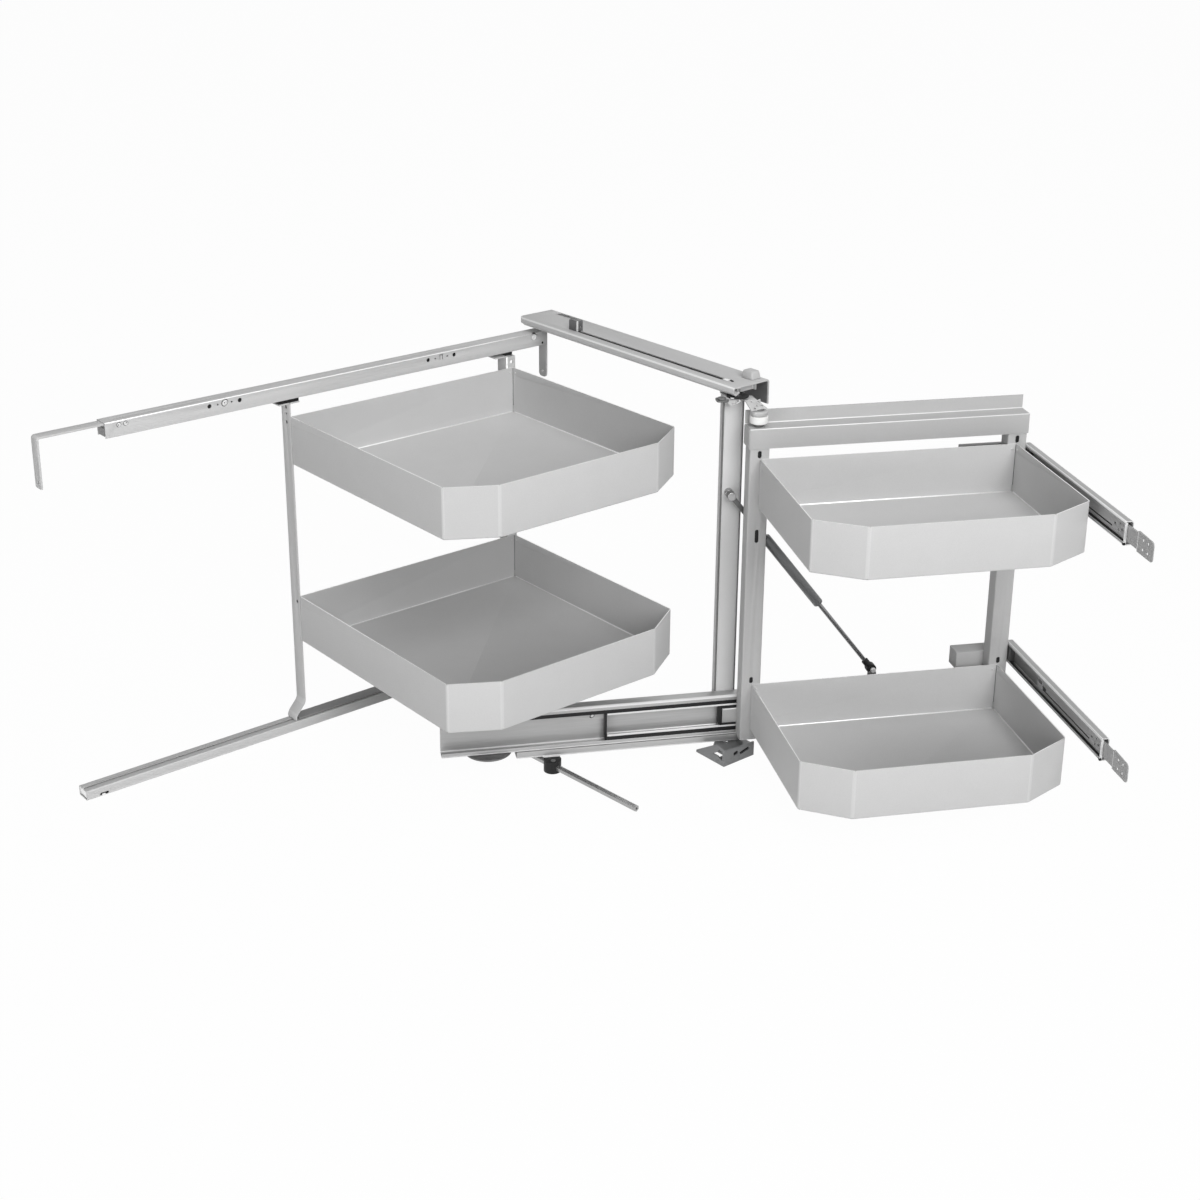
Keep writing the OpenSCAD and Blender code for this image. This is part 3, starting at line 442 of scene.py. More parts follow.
# Left and right strips: flat steel bars, bent once, that carry the rail's ends. The left one runs
# out of the rail to the cabinet's side wall; the right one hangs from the top channel.
def round_edges(piece, direction, where, radius):
    """Rounds the edges that run along one direction where a test on their middle says so."""
    alone(piece)
    bpy.ops.object.mode_set(mode="EDIT")
    bpy.ops.mesh.select_mode(type="EDGE")
    bpy.ops.mesh.select_all(action="DESELECT")
    bpy.ops.object.mode_set(mode="OBJECT")
    points = piece.data.vertices
    for edge in piece.data.edges:
        start, end = [points[corner].co for corner in edge.vertices]
        if abs((end - start).normalized().dot(direction)) > 0.99 and where((start + end) / 2):
            edge.select = True
    bpy.ops.object.mode_set(mode="EDIT")
    bpy.ops.mesh.bevel(offset=radius, segments=5, affect="EDGES")
    bpy.ops.mesh.select_mode(type="VERT")
    bpy.ops.object.mode_set(mode="OBJECT")


strip_thick = 3
strip_bend = 5
strip_hole = 2.4
hole_up = 10
near_zero = 0.1
for node, sheets, foot_round in (("left_strip", soft_bends, 3), ("right_strip", bright_bends, 7)):
    low, high = extent(node)
    strip = folded(node + "_coated", "y", low.y, high.y,
                   [(low.x, low.z), (low.x, high.z), (high.x, high.z)],
                   strip_thick, (high.x, low.z), strip_bend, sheets)
    round_edges(strip, along, lambda mid: mid.z < low.z + near_zero, foot_round)
    cut(strip, [punch((low.x, (low.y + high.y) / 2, low.z + hole_up), along, strip_hole)])
    fit(strip, "cabinet_frame", *silver, node, edge=0.4)

# Lower rail: a shallow box of folded sheet on the cabinet floor, open along the middle of its top,
# where the carriage's tongue runs. Its left end is closed by a small pressed cap.
low, high = extent("lower_rail")
groove = 4
middle = (low.y + high.y) / 2
lower_rail = folded("lower_rail_coated", "x", low.x, high.x,
                    [(middle - groove / 2, high.z), (low.y, high.z), (low.y, low.z), (high.y, low.z),
                     (high.y, high.z), (middle + groove / 2, high.z)],
                    rail_sheet, (middle, 8), 1.8, soft_bends)
# The rail's upward faces at its top take a duller grey: painted shade that makes the top darker.
shaded_top_coat = finish("silver_coat_painted_shade", "#c4c4c4", "#bababa", 0.9, 0.02, 0.5, 0.06, 0.10, shine=0.15)
lower_rail.data.materials.append(shaded_top_coat)
for face in lower_rail.data.polygons:
    if face.normal.z > 0.9 and face.center.z > high.z - 0.2:
        face.material_index = 2
notch_x = low.x + 29
notch_height = 3.6
notch_long = (10, 0, 0)
cut(lower_rail, [punch((notch_x, low.y, notch_height), across, 2.4, stretch=notch_long),
                 punch((notch_x - 1, high.y - 9, high.z), up, 0.9, stretch=(13, 2, 0))])
fit(lower_rail, "cabinet_frame", *silver, "lower_rail", edge=0.3)
# A thin black plate in the notch is painted shade that makes it look dark; the small tab and the end cap
# take the bright coat as a painted highlight.
fit(punch((notch_x, low.y + plug_in, notch_height), across, 3.0, plug_thin, notch_long),
    "cabinet_frame", *nylon, name="lower_rail_notch_shade_fill")
fit(punch((notch_x - 1.5, low.y + 0.2, 2.6), across, 1.6, 1.6, (3, 0, 0)),
    "cabinet_frame", "silver_coat", silver_painted_highlight, edge=0.4, name="lower_rail_notch_tab")
rail_cap = block("lower_rail_end_cap", (low.x + 0.2, low.y + 2, 3.7), (low.x + 2.2, high.y - 2, 14.7))
soften(rail_cap, 0.8, 3)
fit(rail_cap, "cabinet_frame", "silver_coat", silver_painted_highlight)


# Top channel: a heavy folded channel over the swivel, screwed to the cabinet wall through its right
# flange. Its left edge is rolled to a hook, its far left corner is rounded, and a long slot and a
# short window are cut in its top.
def stamped(name, outline, thick, toward, corner=0.0):
    """Stamps a flat plate: an outline drawn point by point is filled, its corners are rounded, and
    the plate gets its thickness in a direction."""
    piece = line(name, outline)
    bpy.ops.mesh.edge_face_add()
    if corner:
        bpy.ops.mesh.bevel(offset=corner, segments=5, affect="VERTICES")
    bpy.ops.object.mode_set(mode="OBJECT")
    face = max(piece.data.polygons, key=lambda polygon: polygon.area)
    side = 1 if face.normal.dot(toward) > 0 else -1
    apply(piece, "SOLIDIFY", thickness=thick, offset=side, use_even_offset=True)
    outward(piece)
    return piece


# On the frame's bends a lighter, shinier coat: a painted highlight, a soft light line, less bright than
# on the rail.
frame_painted_highlight = finish("silver_coat_painted_frame_highlight", "#ebebeb", "#e3e3e3", 0.9, 0.12, 0.42, 0.06, 0.06)
low, high = extent("top_channel")
tab_low, tab_high = extent("slot_tab")
channel_sheet = 2
channel_bend = 2.2
channel_coats = (silver_coat, frame_painted_highlight)
hook_drop = 9.5
slot_x = 7
slot_wide = 9
slot_near = 37
slot_far = tab_high.y
window_x = 52
window_wide = 12
window_near = 440
window_far = 506
corner_round = 12
beyond = 1
flange_hole_in = 70
top_channel = folded("top_channel_coated", "y", low.y, high.y,
                     [(low.x, high.z - hook_drop), (low.x, high.z), (high.x, high.z), (high.x, low.z)],
                     channel_sheet, (0, high.z - 5), channel_bend, channel_coats)
arc = [math.radians(step) for step in range(0, 91, 15)]
corner_edge = [(low.x - beyond, high.y - corner_round),
               *[(low.x + corner_round * (1 - math.cos(turn)), high.y - corner_round * (1 - math.sin(turn)))
                 for turn in arc],
               (low.x + corner_round, high.y + beyond), (low.x - beyond, high.y + beyond)]
openings = [stamped("far_corner_tool", flat("z", high.z + 5, corner_edge), 30, -up)]
openings += [punch((x, (near + far) / 2, high.z), up, wide / 2, stretch=(0, far - near - wide, 0))
             for x, wide, near, far in ((slot_x, slot_wide, slot_near, slot_far),
                                        (window_x, window_wide, window_near, window_far))]
openings += [punch((high.x, y, (low.z + high.z) / 2), along, strip_hole)
             for y in (low.y + flange_hole_in, high.y - flange_hole_in)]
cut(top_channel, openings)
soften(top_channel, 0.4)
hook = folded("channel_hook", "y", low.y, high.y - corner_round,
              [(low.x, high.z - hook_drop + 0.4), (low.x + 5, high.z - 14), (low.x + 13, high.z - 9.5)],
              channel_sheet, (low.x + 6, high.z - 4), 1.2, channel_coats)
soften(hook, 0.4)
fit(joined("top_channel_coated", top_channel, hook), "cabinet_frame", *silver, "top_channel")


# Slot lining: a dark strip that lies under the slot, painted shade that makes the slot look dark, and a
# tongue of sheet bent up at the slot's near end, bright from the coat's painted highlight.
def rectangle(left, right, near, far):
    """The four corners of a plate, to be drawn in turn."""
    return [(left, near), (right, near), (right, far), (left, far)]


slot_sheet_half = 6
slot_sheet_over = 2
slot_shade_sheet = stamped("slot_shade_sheet", flat("z", high.z - 4, rectangle(
    slot_x - slot_sheet_half, slot_x + slot_sheet_half, slot_near - slot_sheet_over, slot_far + slot_sheet_over)),
    1.6, up, 1.5)
fit(slot_shade_sheet, "cabinet_frame", *nylon, edge=0.3)
tongue_root = slot_near - 9
tongue_tip = slot_near + 2
tongue = stamped("slot_tongue", flat("z", high.z, [
    (slot_x - 3.6, tongue_root), (slot_x + 3.6, tongue_root), (slot_x + 2.6, tongue_tip),
    (slot_x - 2.6, tongue_tip)]), 0.9, up, 0.8)
fit(tongue, "cabinet_frame", "silver_coat", silver_painted_highlight, edge=0.3)

# Inner plates: a short angle welded inside the channel's near end, which braces the upper pivot, and
# a dark plate inside the channel's right flange, painted shade on the flange's inner side.
channel_under = high.z - channel_sheet
brace_x = 38
brace_y = 6.4
brace_low = 605.2
brace = folded("channel_brace", "z", brace_low, channel_under,
               [(-6, brace_y), (brace_x, brace_y), (brace_x, brace_y - 6)],
               1.5, (brace_x, brace_y + 100), 1.2, bright_bends)
fit(brace, "cabinet_frame", *silver, edge=0.3)
# A dull dark grey that stands for shade: painted shade inside the channel's flange, on the slot tab
# and in the trays' back corners.
shade_dark_grey = finish("dark_grey_painted_shade", "#6d6d6e", "#5c5c5d", 0.8, 0.3, 0.5, 0.06, 0.1)
flange_shade_far = 120
flange_shade_sheet = stamped("flange_shade_plate", flat("x", high.x - channel_sheet - 0.3, rectangle(
    low.y + 1.5, flange_shade_far, low.z + 1, channel_under - 1)), 1.2, -along, 1)
fit(flange_shade_sheet, "cabinet_frame", "silver_coat", shade_dark_grey, edge=0.3)

# Slot tab: a corner of sheet that stands up at the far end of the slot as a stop, folded to an L, with
# one upper corner rounded off and a small hole. Its faces take the dark grey as painted shade and its
# bend the lighter coat as painted light.
tab_round = 3.5
slot_tab = folded("slot_tab_coated", "z", tab_low.z, tab_high.z,
                  [(tab_high.x, tab_low.y), (tab_low.x, tab_low.y), (tab_low.x, tab_high.y)],
                  channel_sheet, (tab_high.x, tab_high.y), channel_bend, (shade_dark_grey, silver_painted_light))
round_edges(slot_tab, along,
            lambda mid: mid.z > tab_high.z - near_zero and mid.y > tab_high.y - near_zero, tab_round)
cut(slot_tab, [punch((tab_high.x - 4, tab_low.y, tab_low.z + 7), across, 1.3)])
fit(slot_tab, "cabinet_frame", "silver_coat", shade_dark_grey, "slot_tab", edge=0.3)

# Slot stop: a small long button of black nylon, clipped to the channel's top before the near end of
# the slot.
fit(punch((slot_x + 2, slot_near - 14, high.z + 0.6), up, 1.9, 1.2, (1.5, 5, 0)),
    "cabinet_frame", *nylon, "slot_stop", edge=0.5, name="slot_stop_nylon")

# Bumper block: a light grey plastic block pressed onto the channel's front. It tapers, with broad
# bevels, and moulding leaves a fine dull texture.
low, high = extent("bumper_block")
middle = (low + high) / 2
# Moulded plastic: an even light grey with a fine dull grain.
grey_plastic = finish("grey_moulded_plastic", "#c6c6c6", "#bbbbbb", 0.8, 0.0, 0.42, 0.05, 0.2)
bumper_block = block("bumper_block_moulded", low, high)
taper = 0.80
for vertex in bumper_block.data.vertices:
    if vertex.co.z > high.z - near_zero:
        vertex.co.x = middle.x + (vertex.co.x - middle.x) * taper
        vertex.co.y = middle.y + (vertex.co.y - middle.y) * taper
soften(bumper_block, 2.2, 3)
fit(bumper_block, "cabinet_frame", "grey_plastic", grey_plastic, "bumper_block")


# Pivot pins: turned steel pins riveted into the channel above and the floor bracket below. Their
# heads and shoulders are lightly rounded.
def dressed(node, ending, width):
    """Takes a solid as it stands, joins its faces and breaks its edges."""
    piece = bpy.data.objects.new(f"{node}_{ending}", frame["nodes"][node].data.copy())
    bpy.context.scene.collection.objects.link(piece)
    piece.data.materials.clear()
    piece.data.transform(Matrix.Scale(1 / mm, 4) @ axes.inverted())
    outward(piece)
    bpy.ops.object.mode_set(mode="EDIT")
    bpy.ops.mesh.select_all(action="SELECT")
    bpy.ops.mesh.dissolve_limited(angle_limit=math.radians(1))
    bpy.ops.object.mode_set(mode="OBJECT")
    if width:
        soften(piece, width, 3, 40)
    return piece


def dress(node, ending, width, body, slot, material):
    """Dresses a solid and fits it in its own place."""
    fit(dressed(node, ending, width), body, slot, material, node)


# Bright turned steel: a clean mirror with fine rings round the axis.
bright_steel = finish("bright_turned_steel", "#d8d8d8", "#c0c0c0", 0.7, 1.0, 0.2, 0.06, 0.08, (1, 1, 6))
for node in ("top_pin", "floor_pin"):
    dress(node, "turned", 0.6, "cabinet_frame", "bright_steel", bright_steel)

# Floor bracket: thick sheet folded to a low open box and painted mid grey, screwed to the cabinet
# floor. Two slots are cut in its front and a relief under it.
# Stove enamel: a smooth mid grey with a soft gloss.
grey_coat = finish("grey_stove_enamel", "#8a8b8c", "#7d7e7f", 0.9, 0.2, 0.4, 0.06, 0.14)
low, high = extent("floor_bracket")
floor_bracket = dressed("floor_bracket", "folded", 0)
slot_slope = 0.2
slots = ((low.x + 26, 16.5, 4, 3.2), (low.x + 45, 15, 15, 2.6))
tools = [punch((x, low.y, z), across, radius, stretch=(long, 0, slot_slope * long))
         for x, z, long, radius in slots]
tools.append(block("floor_bracket_relief", (-35, -13, -6), (27, 21, 6)))
cut(floor_bracket, tools)
soften(floor_bracket, 0.8, 3, 40)
fit(floor_bracket, "cabinet_frame", "grey_coat", grey_coat, "floor_bracket")
# A thin black plate in each slot: painted shade that makes the slots look dark.
for number, (x, z, long, radius) in enumerate(slots):
    fit(punch((x, low.y + 2.7, z), across, radius + 0.8, 0.4, (long, 0, slot_slope * long)),
        "cabinet_frame", *nylon, name=f"floor_bracket_slot_shade_fill_{number}")


# Uprights: strips of folded sheet behind the rear trays. The left one is flat, with a kick in its
# foot; the right one is an angle. Each has a small welded plate under its glide shoe.
def seat(side, low, high):
    """Fits the plate between an upright's top and its glide shoe."""
    shoe_low, shoe_high = extent(side + "_shoe")
    plate = folded(side + "_seat_plate", "y", low.y, high.y, [(shoe_low.x, high.z), (shoe_high.x, high.z)],
                   upright_sheet, (low.x, low.z))
    fit(plate, "rear_carriage", *silver, edge=0.5)


upright_sheet = 2
hole_radius = 3.2
low, high = extent("left_upright")
rear_low, rear_high = extent("rear_upper_tray")
strip_x = rear_low.x
left_upright = folded("left_upright_coated", "y", low.y, high.y,
                      [(low.x, low.z), (low.x, low.z + 5), (strip_x, low.z + 27), (strip_x, high.z)],
                      upright_sheet, (strip_x + 50, low.z), 5, soft_bends)
strip_holes = ((low.y + 12, high.z - 9, hole_radius), (low.y + 12, high.z - 20, 2.0),
               (low.y + 12, high.z - 34, hole_radius), (low.y + 8, 226, hole_radius))
cut(left_upright, [punch((strip_x, y, z), along, radius) for y, z, radius in strip_holes])
# Thin black discs in the holes: painted shade that makes the holes look dark.
strip_shade_fills = [punch((strip_x + 1.5, y, z), along, radius * 0.98, 0.6) for y, z, radius in strip_holes]
fit(joined("left_upright_hole_plugs", *strip_shade_fills), "rear_carriage", *nylon)
fit(left_upright, "rear_carriage", *silver, "left_upright", edge=0.35)
seat("left", low, high)

low, high = extent("right_upright")
face_left = rear_high.x - 13.5
right_upright = folded("right_upright_coated", "z", low.z, high.z,
                       [(high.x, low.y), (face_left, low.y), (face_left, high.y)],
                       upright_sheet, (high.x, high.y), 2.0, bright_bends)
round_edges(right_upright, across,
            lambda mid: mid.z > high.z - near_zero and mid.x > high.x - near_zero, 5)
cut(right_upright, [punch((high.x - 8, low.y, high.z - 12), across, hole_radius)])
fit(right_upright, "rear_carriage", *silver, "right_upright", edge=0.35)
seat("right", low, high)

# Glide shoes and lower runner: moulded nylon blocks that slide in the two rails, black in the upper
# one and grey in the lower one. Their edges are well rounded.
shoe_edge = 0.8
dress("left_shoe", "nylon", shoe_edge, "rear_carriage", *nylon)
right_shoe = dressed("right_shoe", "nylon", shoe_edge)
for vertex in right_shoe.data.vertices:
    vertex.co.x = max(vertex.co.x, face_left - 1)
outward(right_shoe)
fit(right_shoe, "rear_carriage", *nylon, "right_shoe")
dress("lower_runner", "nylon", shoe_edge, "rear_carriage", "grey_plastic", grey_nylon)

# Trays: one sheet of steel each, cut, folded up at the edges and across the two front corners, and
# coated. Dark strips run up the two back corners from a short relief slot, painted shade in the corner
# gaps, and small relief holes are left where three folds meet. Rivets hold each tray to what carries it.
tray_sheet = 1.5
tray_bend = 2.9
tray_edge = 0.35
corner_wide = 70
corner_deep = 42
rivet_in = 8
rivet_down = 8
rivet_radius = 2.0
rivet_rise = 1.2
# Width of the dark strips of painted shade up the back corners.
seam = 0.5
relief_wide = 1.3
relief_tall = 12
small_hole = 0.9
hole_deep = 9


def tray(node):
    """Folds a tray up from a plane: its corners are cut, its rim is pulled up, its bends are rounded and
    coated, and the relief holes are punched."""
    low, high = extent(node)
    middle = (low + high) / 2
    bpy.ops.object.select_all(action="DESELECT")
    bpy.ops.mesh.primitive_plane_add(size=1)
    piece = bpy.context.active_object
    piece.name = node + "_folded"
    for coat in (*bright_bends, silver_painted_light):
        piece.data.materials.append(coat)
    piece.data.transform(Matrix.Translation((middle.x, middle.y, low.z))
                         @ Matrix.Diagonal((high.x - low.x, high.y - low.y, 1, 1)))
    bpy.ops.object.mode_set(mode="EDIT")
    for side, edge in ((-1, low.x), (1, high.x)):
        slope = Vector((side * corner_deep, -corner_wide, 0)).normalized()
        bpy.ops.mesh.select_all(action="SELECT")
        bpy.ops.mesh.bisect(plane_co=(edge, low.y + corner_deep, low.z), plane_no=slope, clear_outer=True)
    bpy.ops.mesh.select_mode(type="EDGE")
    bpy.ops.mesh.select_all(action="SELECT")
    bpy.ops.mesh.region_to_loop()
    bpy.ops.mesh.extrude_edges_move(TRANSFORM_OT_translate={"value": (0, 0, high.z - low.z)})
    bpy.ops.mesh.select_mode(type="VERT")
    bpy.ops.object.mode_set(mode="OBJECT")
    soften(piece, tray_bend, 4, bend_angle, 1)
    widest = max(piece.data.polygons, key=lambda face: face.area)
    apply(piece, "SOLIDIFY", thickness=tray_sheet, offset=1 if widest.normal.z > 0 else -1,
          use_even_offset=True)
    outward(piece)
    # Bends facing down keep the plain coat; upright bends and the rim's top get painted highlights.
    for face in piece.data.polygons:
        if face.material_index == 1 and face.normal.z < -0.05:
            face.material_index = 0
        elif face.material_index == 1 and face.normal.z < 0.05:
            face.material_index = 2
        elif face.normal.z > 0.9 and face.center.z > high.z - near_zero:
            face.material_index = 1
    dots = []
    for x, y in ((low.x + corner_wide, low.y), (high.x - corner_wide, low.y),
                 (low.x, low.y + corner_deep), (high.x, low.y + corner_deep)):
        out = Vector((x - middle.x, y - middle.y, 0)).normalized()
        dots.append(punch((x, y, low.z + 0.6), (out.x, out.y, -0.5), relief_wide, hole_deep, sides=12))
        dots.append(punch((x, y, high.z), out, small_hole, hole_deep, sides=12))
    for side, edge in ((1, low.x), (-1, high.x)):
        dots.append(punch((edge + side * (tray_sheet + relief_wide), high.y,
                           low.z + tray_sheet + relief_tall / 2), across, relief_wide, hole_deep,
                          (0, 0, relief_tall - 2 * relief_wide), sides=12))
        dots.append(punch((edge, high.y - rivet_in, high.z - rivet_down - 6), along, small_hole, hole_deep,
                          sides=12))
    cut(piece, dots)
    soften(piece, tray_edge, coat=1)
    return piece


def rivet(place, axis):
    """Turns a low domed head: a short cylinder whose rims are well rounded."""
    head = punch(Vector(place) + Vector(axis) * rivet_rise / 2, axis, rivet_radius, rivet_rise)
    soften(head, rivet_rise * 0.7, 4, 60)
    return head


def hang_trays(row, body):
    """Fits a row's two trays with painted-shade strips and two rivets in each of their back corners."""
    places = []
    for node in (row + "_upper_tray", row + "_lower_tray"):
        low, high = extent(node)
        fit(tray(node), body, *silver, node)
        corner_shades = [punch((edge, high.y - tray_sheet - seam, (low.z + relief_tall + high.z) / 2), up, seam,
                       high.z - low.z - relief_tall - 2, sides=8)
                 for edge in (low.x + tray_sheet + seam, high.x - tray_sheet - seam)]
        fit(joined(node + "_seams", *corner_shades), body, "dark_coat", shade_dark_grey)
        for side, edge in ((1, low.x), (-1, high.x)):
            height = high.z - rivet_down
            places.append(((edge + side * rivet_in, high.y - tray_sheet, height), -across))
            places.append(((edge + side * tray_sheet, high.y - rivet_in, height), along * side))
    heads = [rivet(place, axis) for place, axis in places]
    fit(joined(row + "_tray_rivets", *heads), body, "bright_steel", bright_zinc, row + "_tray_screws")


# Bright zinc on small fasteners: pale and half shiny.
bright_zinc = finish("bright_zinc", "#e0e0e0", "#d0d0d0", 0.7, 0.35, 0.4, 0.06, 0.08)
hang_trays("rear", "rear_carriage")

# Column: the upright on the swivel axis, folded from thick sheet to a box that is open along the
# middle of its back. Dark strips down both of its edges are painted shade. The column and all that
# follows stand turned from the cabinet, so they are drawn on the front frame's axes.
front_angle = math.radians(28.2)
axes = Matrix.Rotation(-front_angle, 4, "Z")
column_sheet = 2
column_bend = 3.5
column_lip = 9
# Width of the dark strips of painted shade down the column's edges, and how far they stand out.
edge_shade = 1.7
shade_strip_out = 0.5
low, high = extent("column")
column = folded("column_folded", "z", low.z, high.z,
                [(low.x + column_lip, high.y), (low.x, high.y), (low.x, low.y), (high.x, low.y),
                 (high.x, high.y), (high.x - column_lip, high.y)],
                column_sheet, (low.x + column_lip, low.y), column_bend)
# The whole column takes the lighter coat: painted light.
fit(column, "swivel", "silver_coat", silver_painted_light, "column", edge=0.4)
# A dull dark grey steel: as strips down the column's edges it is painted shade; on the other pieces it
# is the colour of dark steel parts.
dark_steel_and_shade = finish("dark_steel_painted_shade", "#787878", "#676767", 0.8, 0.5, 0.45, 0.06, 0.1)
for side, left in (("left", low.x - shade_strip_out), ("right", high.x + shade_strip_out - edge_shade)):
    strip = block(f"column_{side}_hem", (left, low.y - 0.4, low.z + 1),
                  (left + edge_shade, low.y + 5.6, high.z - 1))
    fit(strip, "swivel", "silver_coat", dark_steel_and_shade, edge=0.5)

# Column plate: a stamped plate over the column that turns on the upper pin, with an ear bent down
# over the column's face and screwed to it. Two round tails stand out at its left, a black disc lies on
# it round the pin as painted shade under the channel, and a small bent catch hangs before the ear,
# bright from the coat's painted highlight.
low, high = extent("column_plate")
plate_z = high.z - column_sheet
plate_top = stamped("plate_top", flat("z", plate_z, rectangle(low.x, high.x, low.y, high.y)),
                    column_sheet, up, 6)
cut(plate_top, [punch((0, 0, plate_z), up, 4.2)])
soften(plate_top, 0.4)
ear_y = low.y
ear = stamped("plate_ear", flat("y", ear_y, [(-22, plate_z + 1.5), (2, plate_z + 1.5), (0, plate_z - 4),
                                             (-5, low.z - 1), (-13, low.z - 1), (-18, plate_z - 3)]),
              1.5, across, 1.6)
cut(ear, [punch((-9.5, ear_y, low.z + 2.2), across, 1.2)])
soften(ear, 0.3)
fit(joined("column_plate_stamped", plate_top, ear), "swivel", *silver, "column_plate")
tail_round = 5
for name, left, right, near, far, z, thick in (
        ("lower_tail", low.x - 15, low.x + 4, low.y - 6, low.y + 12, plate_z - 2, 3.2),
        ("upper_tail", low.x - 13, low.x - 1, low.y - 8, low.y + 6, plate_z + 2.4, 2.0)):
    tail = stamped(name + "_stamped", flat("z", z, rectangle(left, right, near, far)), thick, up, tail_round)
    fit(tail, "swivel", "silver_coat", dark_steel_and_shade, edge=0.4)
fit(punch((0, 0, plate_z + 3.5), up, 17, 2.4, sides=48), "swivel", *nylon, edge=0.5, name="pivot_shade_disc")
catch = folded("plate_catch", "y", ear_y - 6, ear_y, [(-14, 604.5), (-4, 604.2), (2, 598.5), (-5, 595)],
               1.2, (-6, 590), 1.2)
fit(catch, "swivel", "bright_steel", silver_painted_highlight, edge=0.3)

# Roller bracket: a stamped arm from the column plate that slants down over the front frame to the
# roller, with punched holes and small teeth along its end, and a pressed cap over the roller.
low, high = extent("roller_bracket")
roller_low, roller_high = extent("guide_roller")
roller_mid = (roller_low + roller_high) / 2
plate_from = Vector((8, -14, 600))
plate_side = Vector((-68, 181, -360)).normalized()


def on_plate(x, y):
    """The point of the slanted plate over a place in the front frame."""
    drop = (plate_side.x * (x - plate_from.x) + plate_side.y * (y - plate_from.y)) / plate_side.z
    return (x, y, plate_from.z - drop)


slant = stamped("bracket_slant", [on_plate(x, y) for x, y in (
    (8, -14), (24, -6), (28, -10.5), (33.5, -7), (32.5, -15.5), (40, -24), (40.5, -29), (35, -25.9),
    (13, -34))], column_sheet, plate_side)
cut(slant, [punch(on_plate(x, y), plate_side, radius, 1.5 * through, sides=16) for x, y, radius in (
    (28.6, -14.5, 1.9), (32.6, -20.6, 1.7), (19.5, -28.3, 1.7), (24, -22.6, 1.5), (17, -16, 1.5))])
soften(slant, 0.4)
arm = stamped("bracket_arm", flat("z", high.z - column_sheet, [
    (low.x, -16), (10, -16), (25, -5), (25, high.y), (low.x, high.y)]), column_sheet, up, 1.5)
soften(arm, 0.4)
cap_foot = roller_high.z + 0.7
cap_top = low.z + column_sheet
cap = punch((roller_mid.x, roller_mid.y, (cap_foot + cap_top) / 2), up, 13.8, cap_top - cap_foot, sides=48)
soften(cap, 1.2, 3)
# Thick zinc from the bath is dull and mottled.
dull_zinc = finish("dull_zinc", "#c6c6c6", "#b6b6b6", 0.7, 0.2, 0.45, 0.06, 0.1)
fit(joined("roller_bracket_stamped", slant, arm, cap), "swivel", "zinc_plate", dull_zinc, "roller_bracket")

# Guide roller: turned white nylon on a steel pin, which runs along the crossbar's upstand. A round
# nut locks the pin below it.
# Nylon gives the eye a soft clean white that light enters a little way.
white_nylon = finish("white_nylon", "#fbfbfa", "#f4f4f2", 0.8, 0.0, 0.38, 0.04, 0.1)
shader = white_nylon.node_tree.nodes["Principled BSDF"]
shader.inputs["Subsurface Weight"].default_value = 0.15
shader.inputs["Subsurface Radius"].default_value = (2 * mm, 2 * mm, 2 * mm)
dress("guide_roller", "turned", 1.4, "roller", "white_nylon", white_nylon)
dress("roller_pin", "turned", 0.8, "swivel", "bright_steel", dark_steel_and_shade)
roller_nut = punch((roller_mid.x, roller_mid.y, roller_low.z - 2.6), up, 7.8, 5.0, sides=48)
soften(roller_nut, 0.8, 3)
fit(roller_nut, "swivel", "bright_steel", dark_steel_and_shade, name="roller_lock_nut")

# Heavy slide: three rolled members of zinc plated steel, one in the other, with ball races between.
# The outer one is fixed to the column's foot, and the inner one carries the front frame.
slide_sheet = 1.8
slide_lip = 8
slide_roll = 3.4
drawn_out = 0.02
# Zinc plate on rolled sheet: a light grey with a dull shine and fine lines along the slide, drawn
# wider apart than life to show.
zinc_plate = finish("zinc_plated_sheet", "#b9b9b9", "#adadad", 1.5, 0.5, 0.38, 0.04, 0.06, (drawn_out, 1, 1),
                    front_angle)
# Zinc much lighter and shinier: painted highlights on the rolled lips and small bright parts.
zinc_highlight = finish("zinc_painted_highlight", "#e9e9e9", "#dddddd", 0.5, 0.35, 0.36, 0.06, 0.06)
# Zinc plate a little darker, with its lines along the door arms.
zinc_along = finish("zinc_plated_slide", "#acacac", "#a0a0a0", 1.5, 0.4, 0.38, 0.04, 0.06, (1, drawn_out, 1),
                    front_angle)
zinc = ("zinc_plate", zinc_plate)
bright_lips = (zinc_plate, zinc_highlight)


def member(node, sheets):
    """Rolls a slide member: a channel open to the front whose lips hold the balls."""
    low, high = extent(node)
    middle = (low + high) / 2
    return folded(node + "_rolled", "x", low.x, high.x,
                  [(low.y, low.z + slide_lip), (low.y, low.z), (high.y, low.z), (high.y, high.z),
                   (low.y, high.z), (low.y, high.z - slide_lip)],
                  slide_sheet, (middle.y, middle.z), slide_roll, sheets)


def bar(name, left, right, near, far, foot, top, edge, body, slot, material):
    """Cuts a strip or block to length, breaks its edges and fits it."""
    fit(block(name, (left, near, foot), (right, far, top)), body, slot, material, edge=edge)


slide_low, slide_high = extent("slide_outer")
middle_low, middle_high = extent("slide_middle")
inner_low, inner_high = extent("slide_inner")
eye_x = middle_low.x - 20.5
eye_z = 77
web_y = slide_high.y - slide_sheet
slide_outer = member("slide_outer", (zinc_plate, zinc_plate))
cut(slide_outer, [punch((eye_x, web_y, eye_z), across, 3.0, stretch=(2.4, 0, 1.8))])
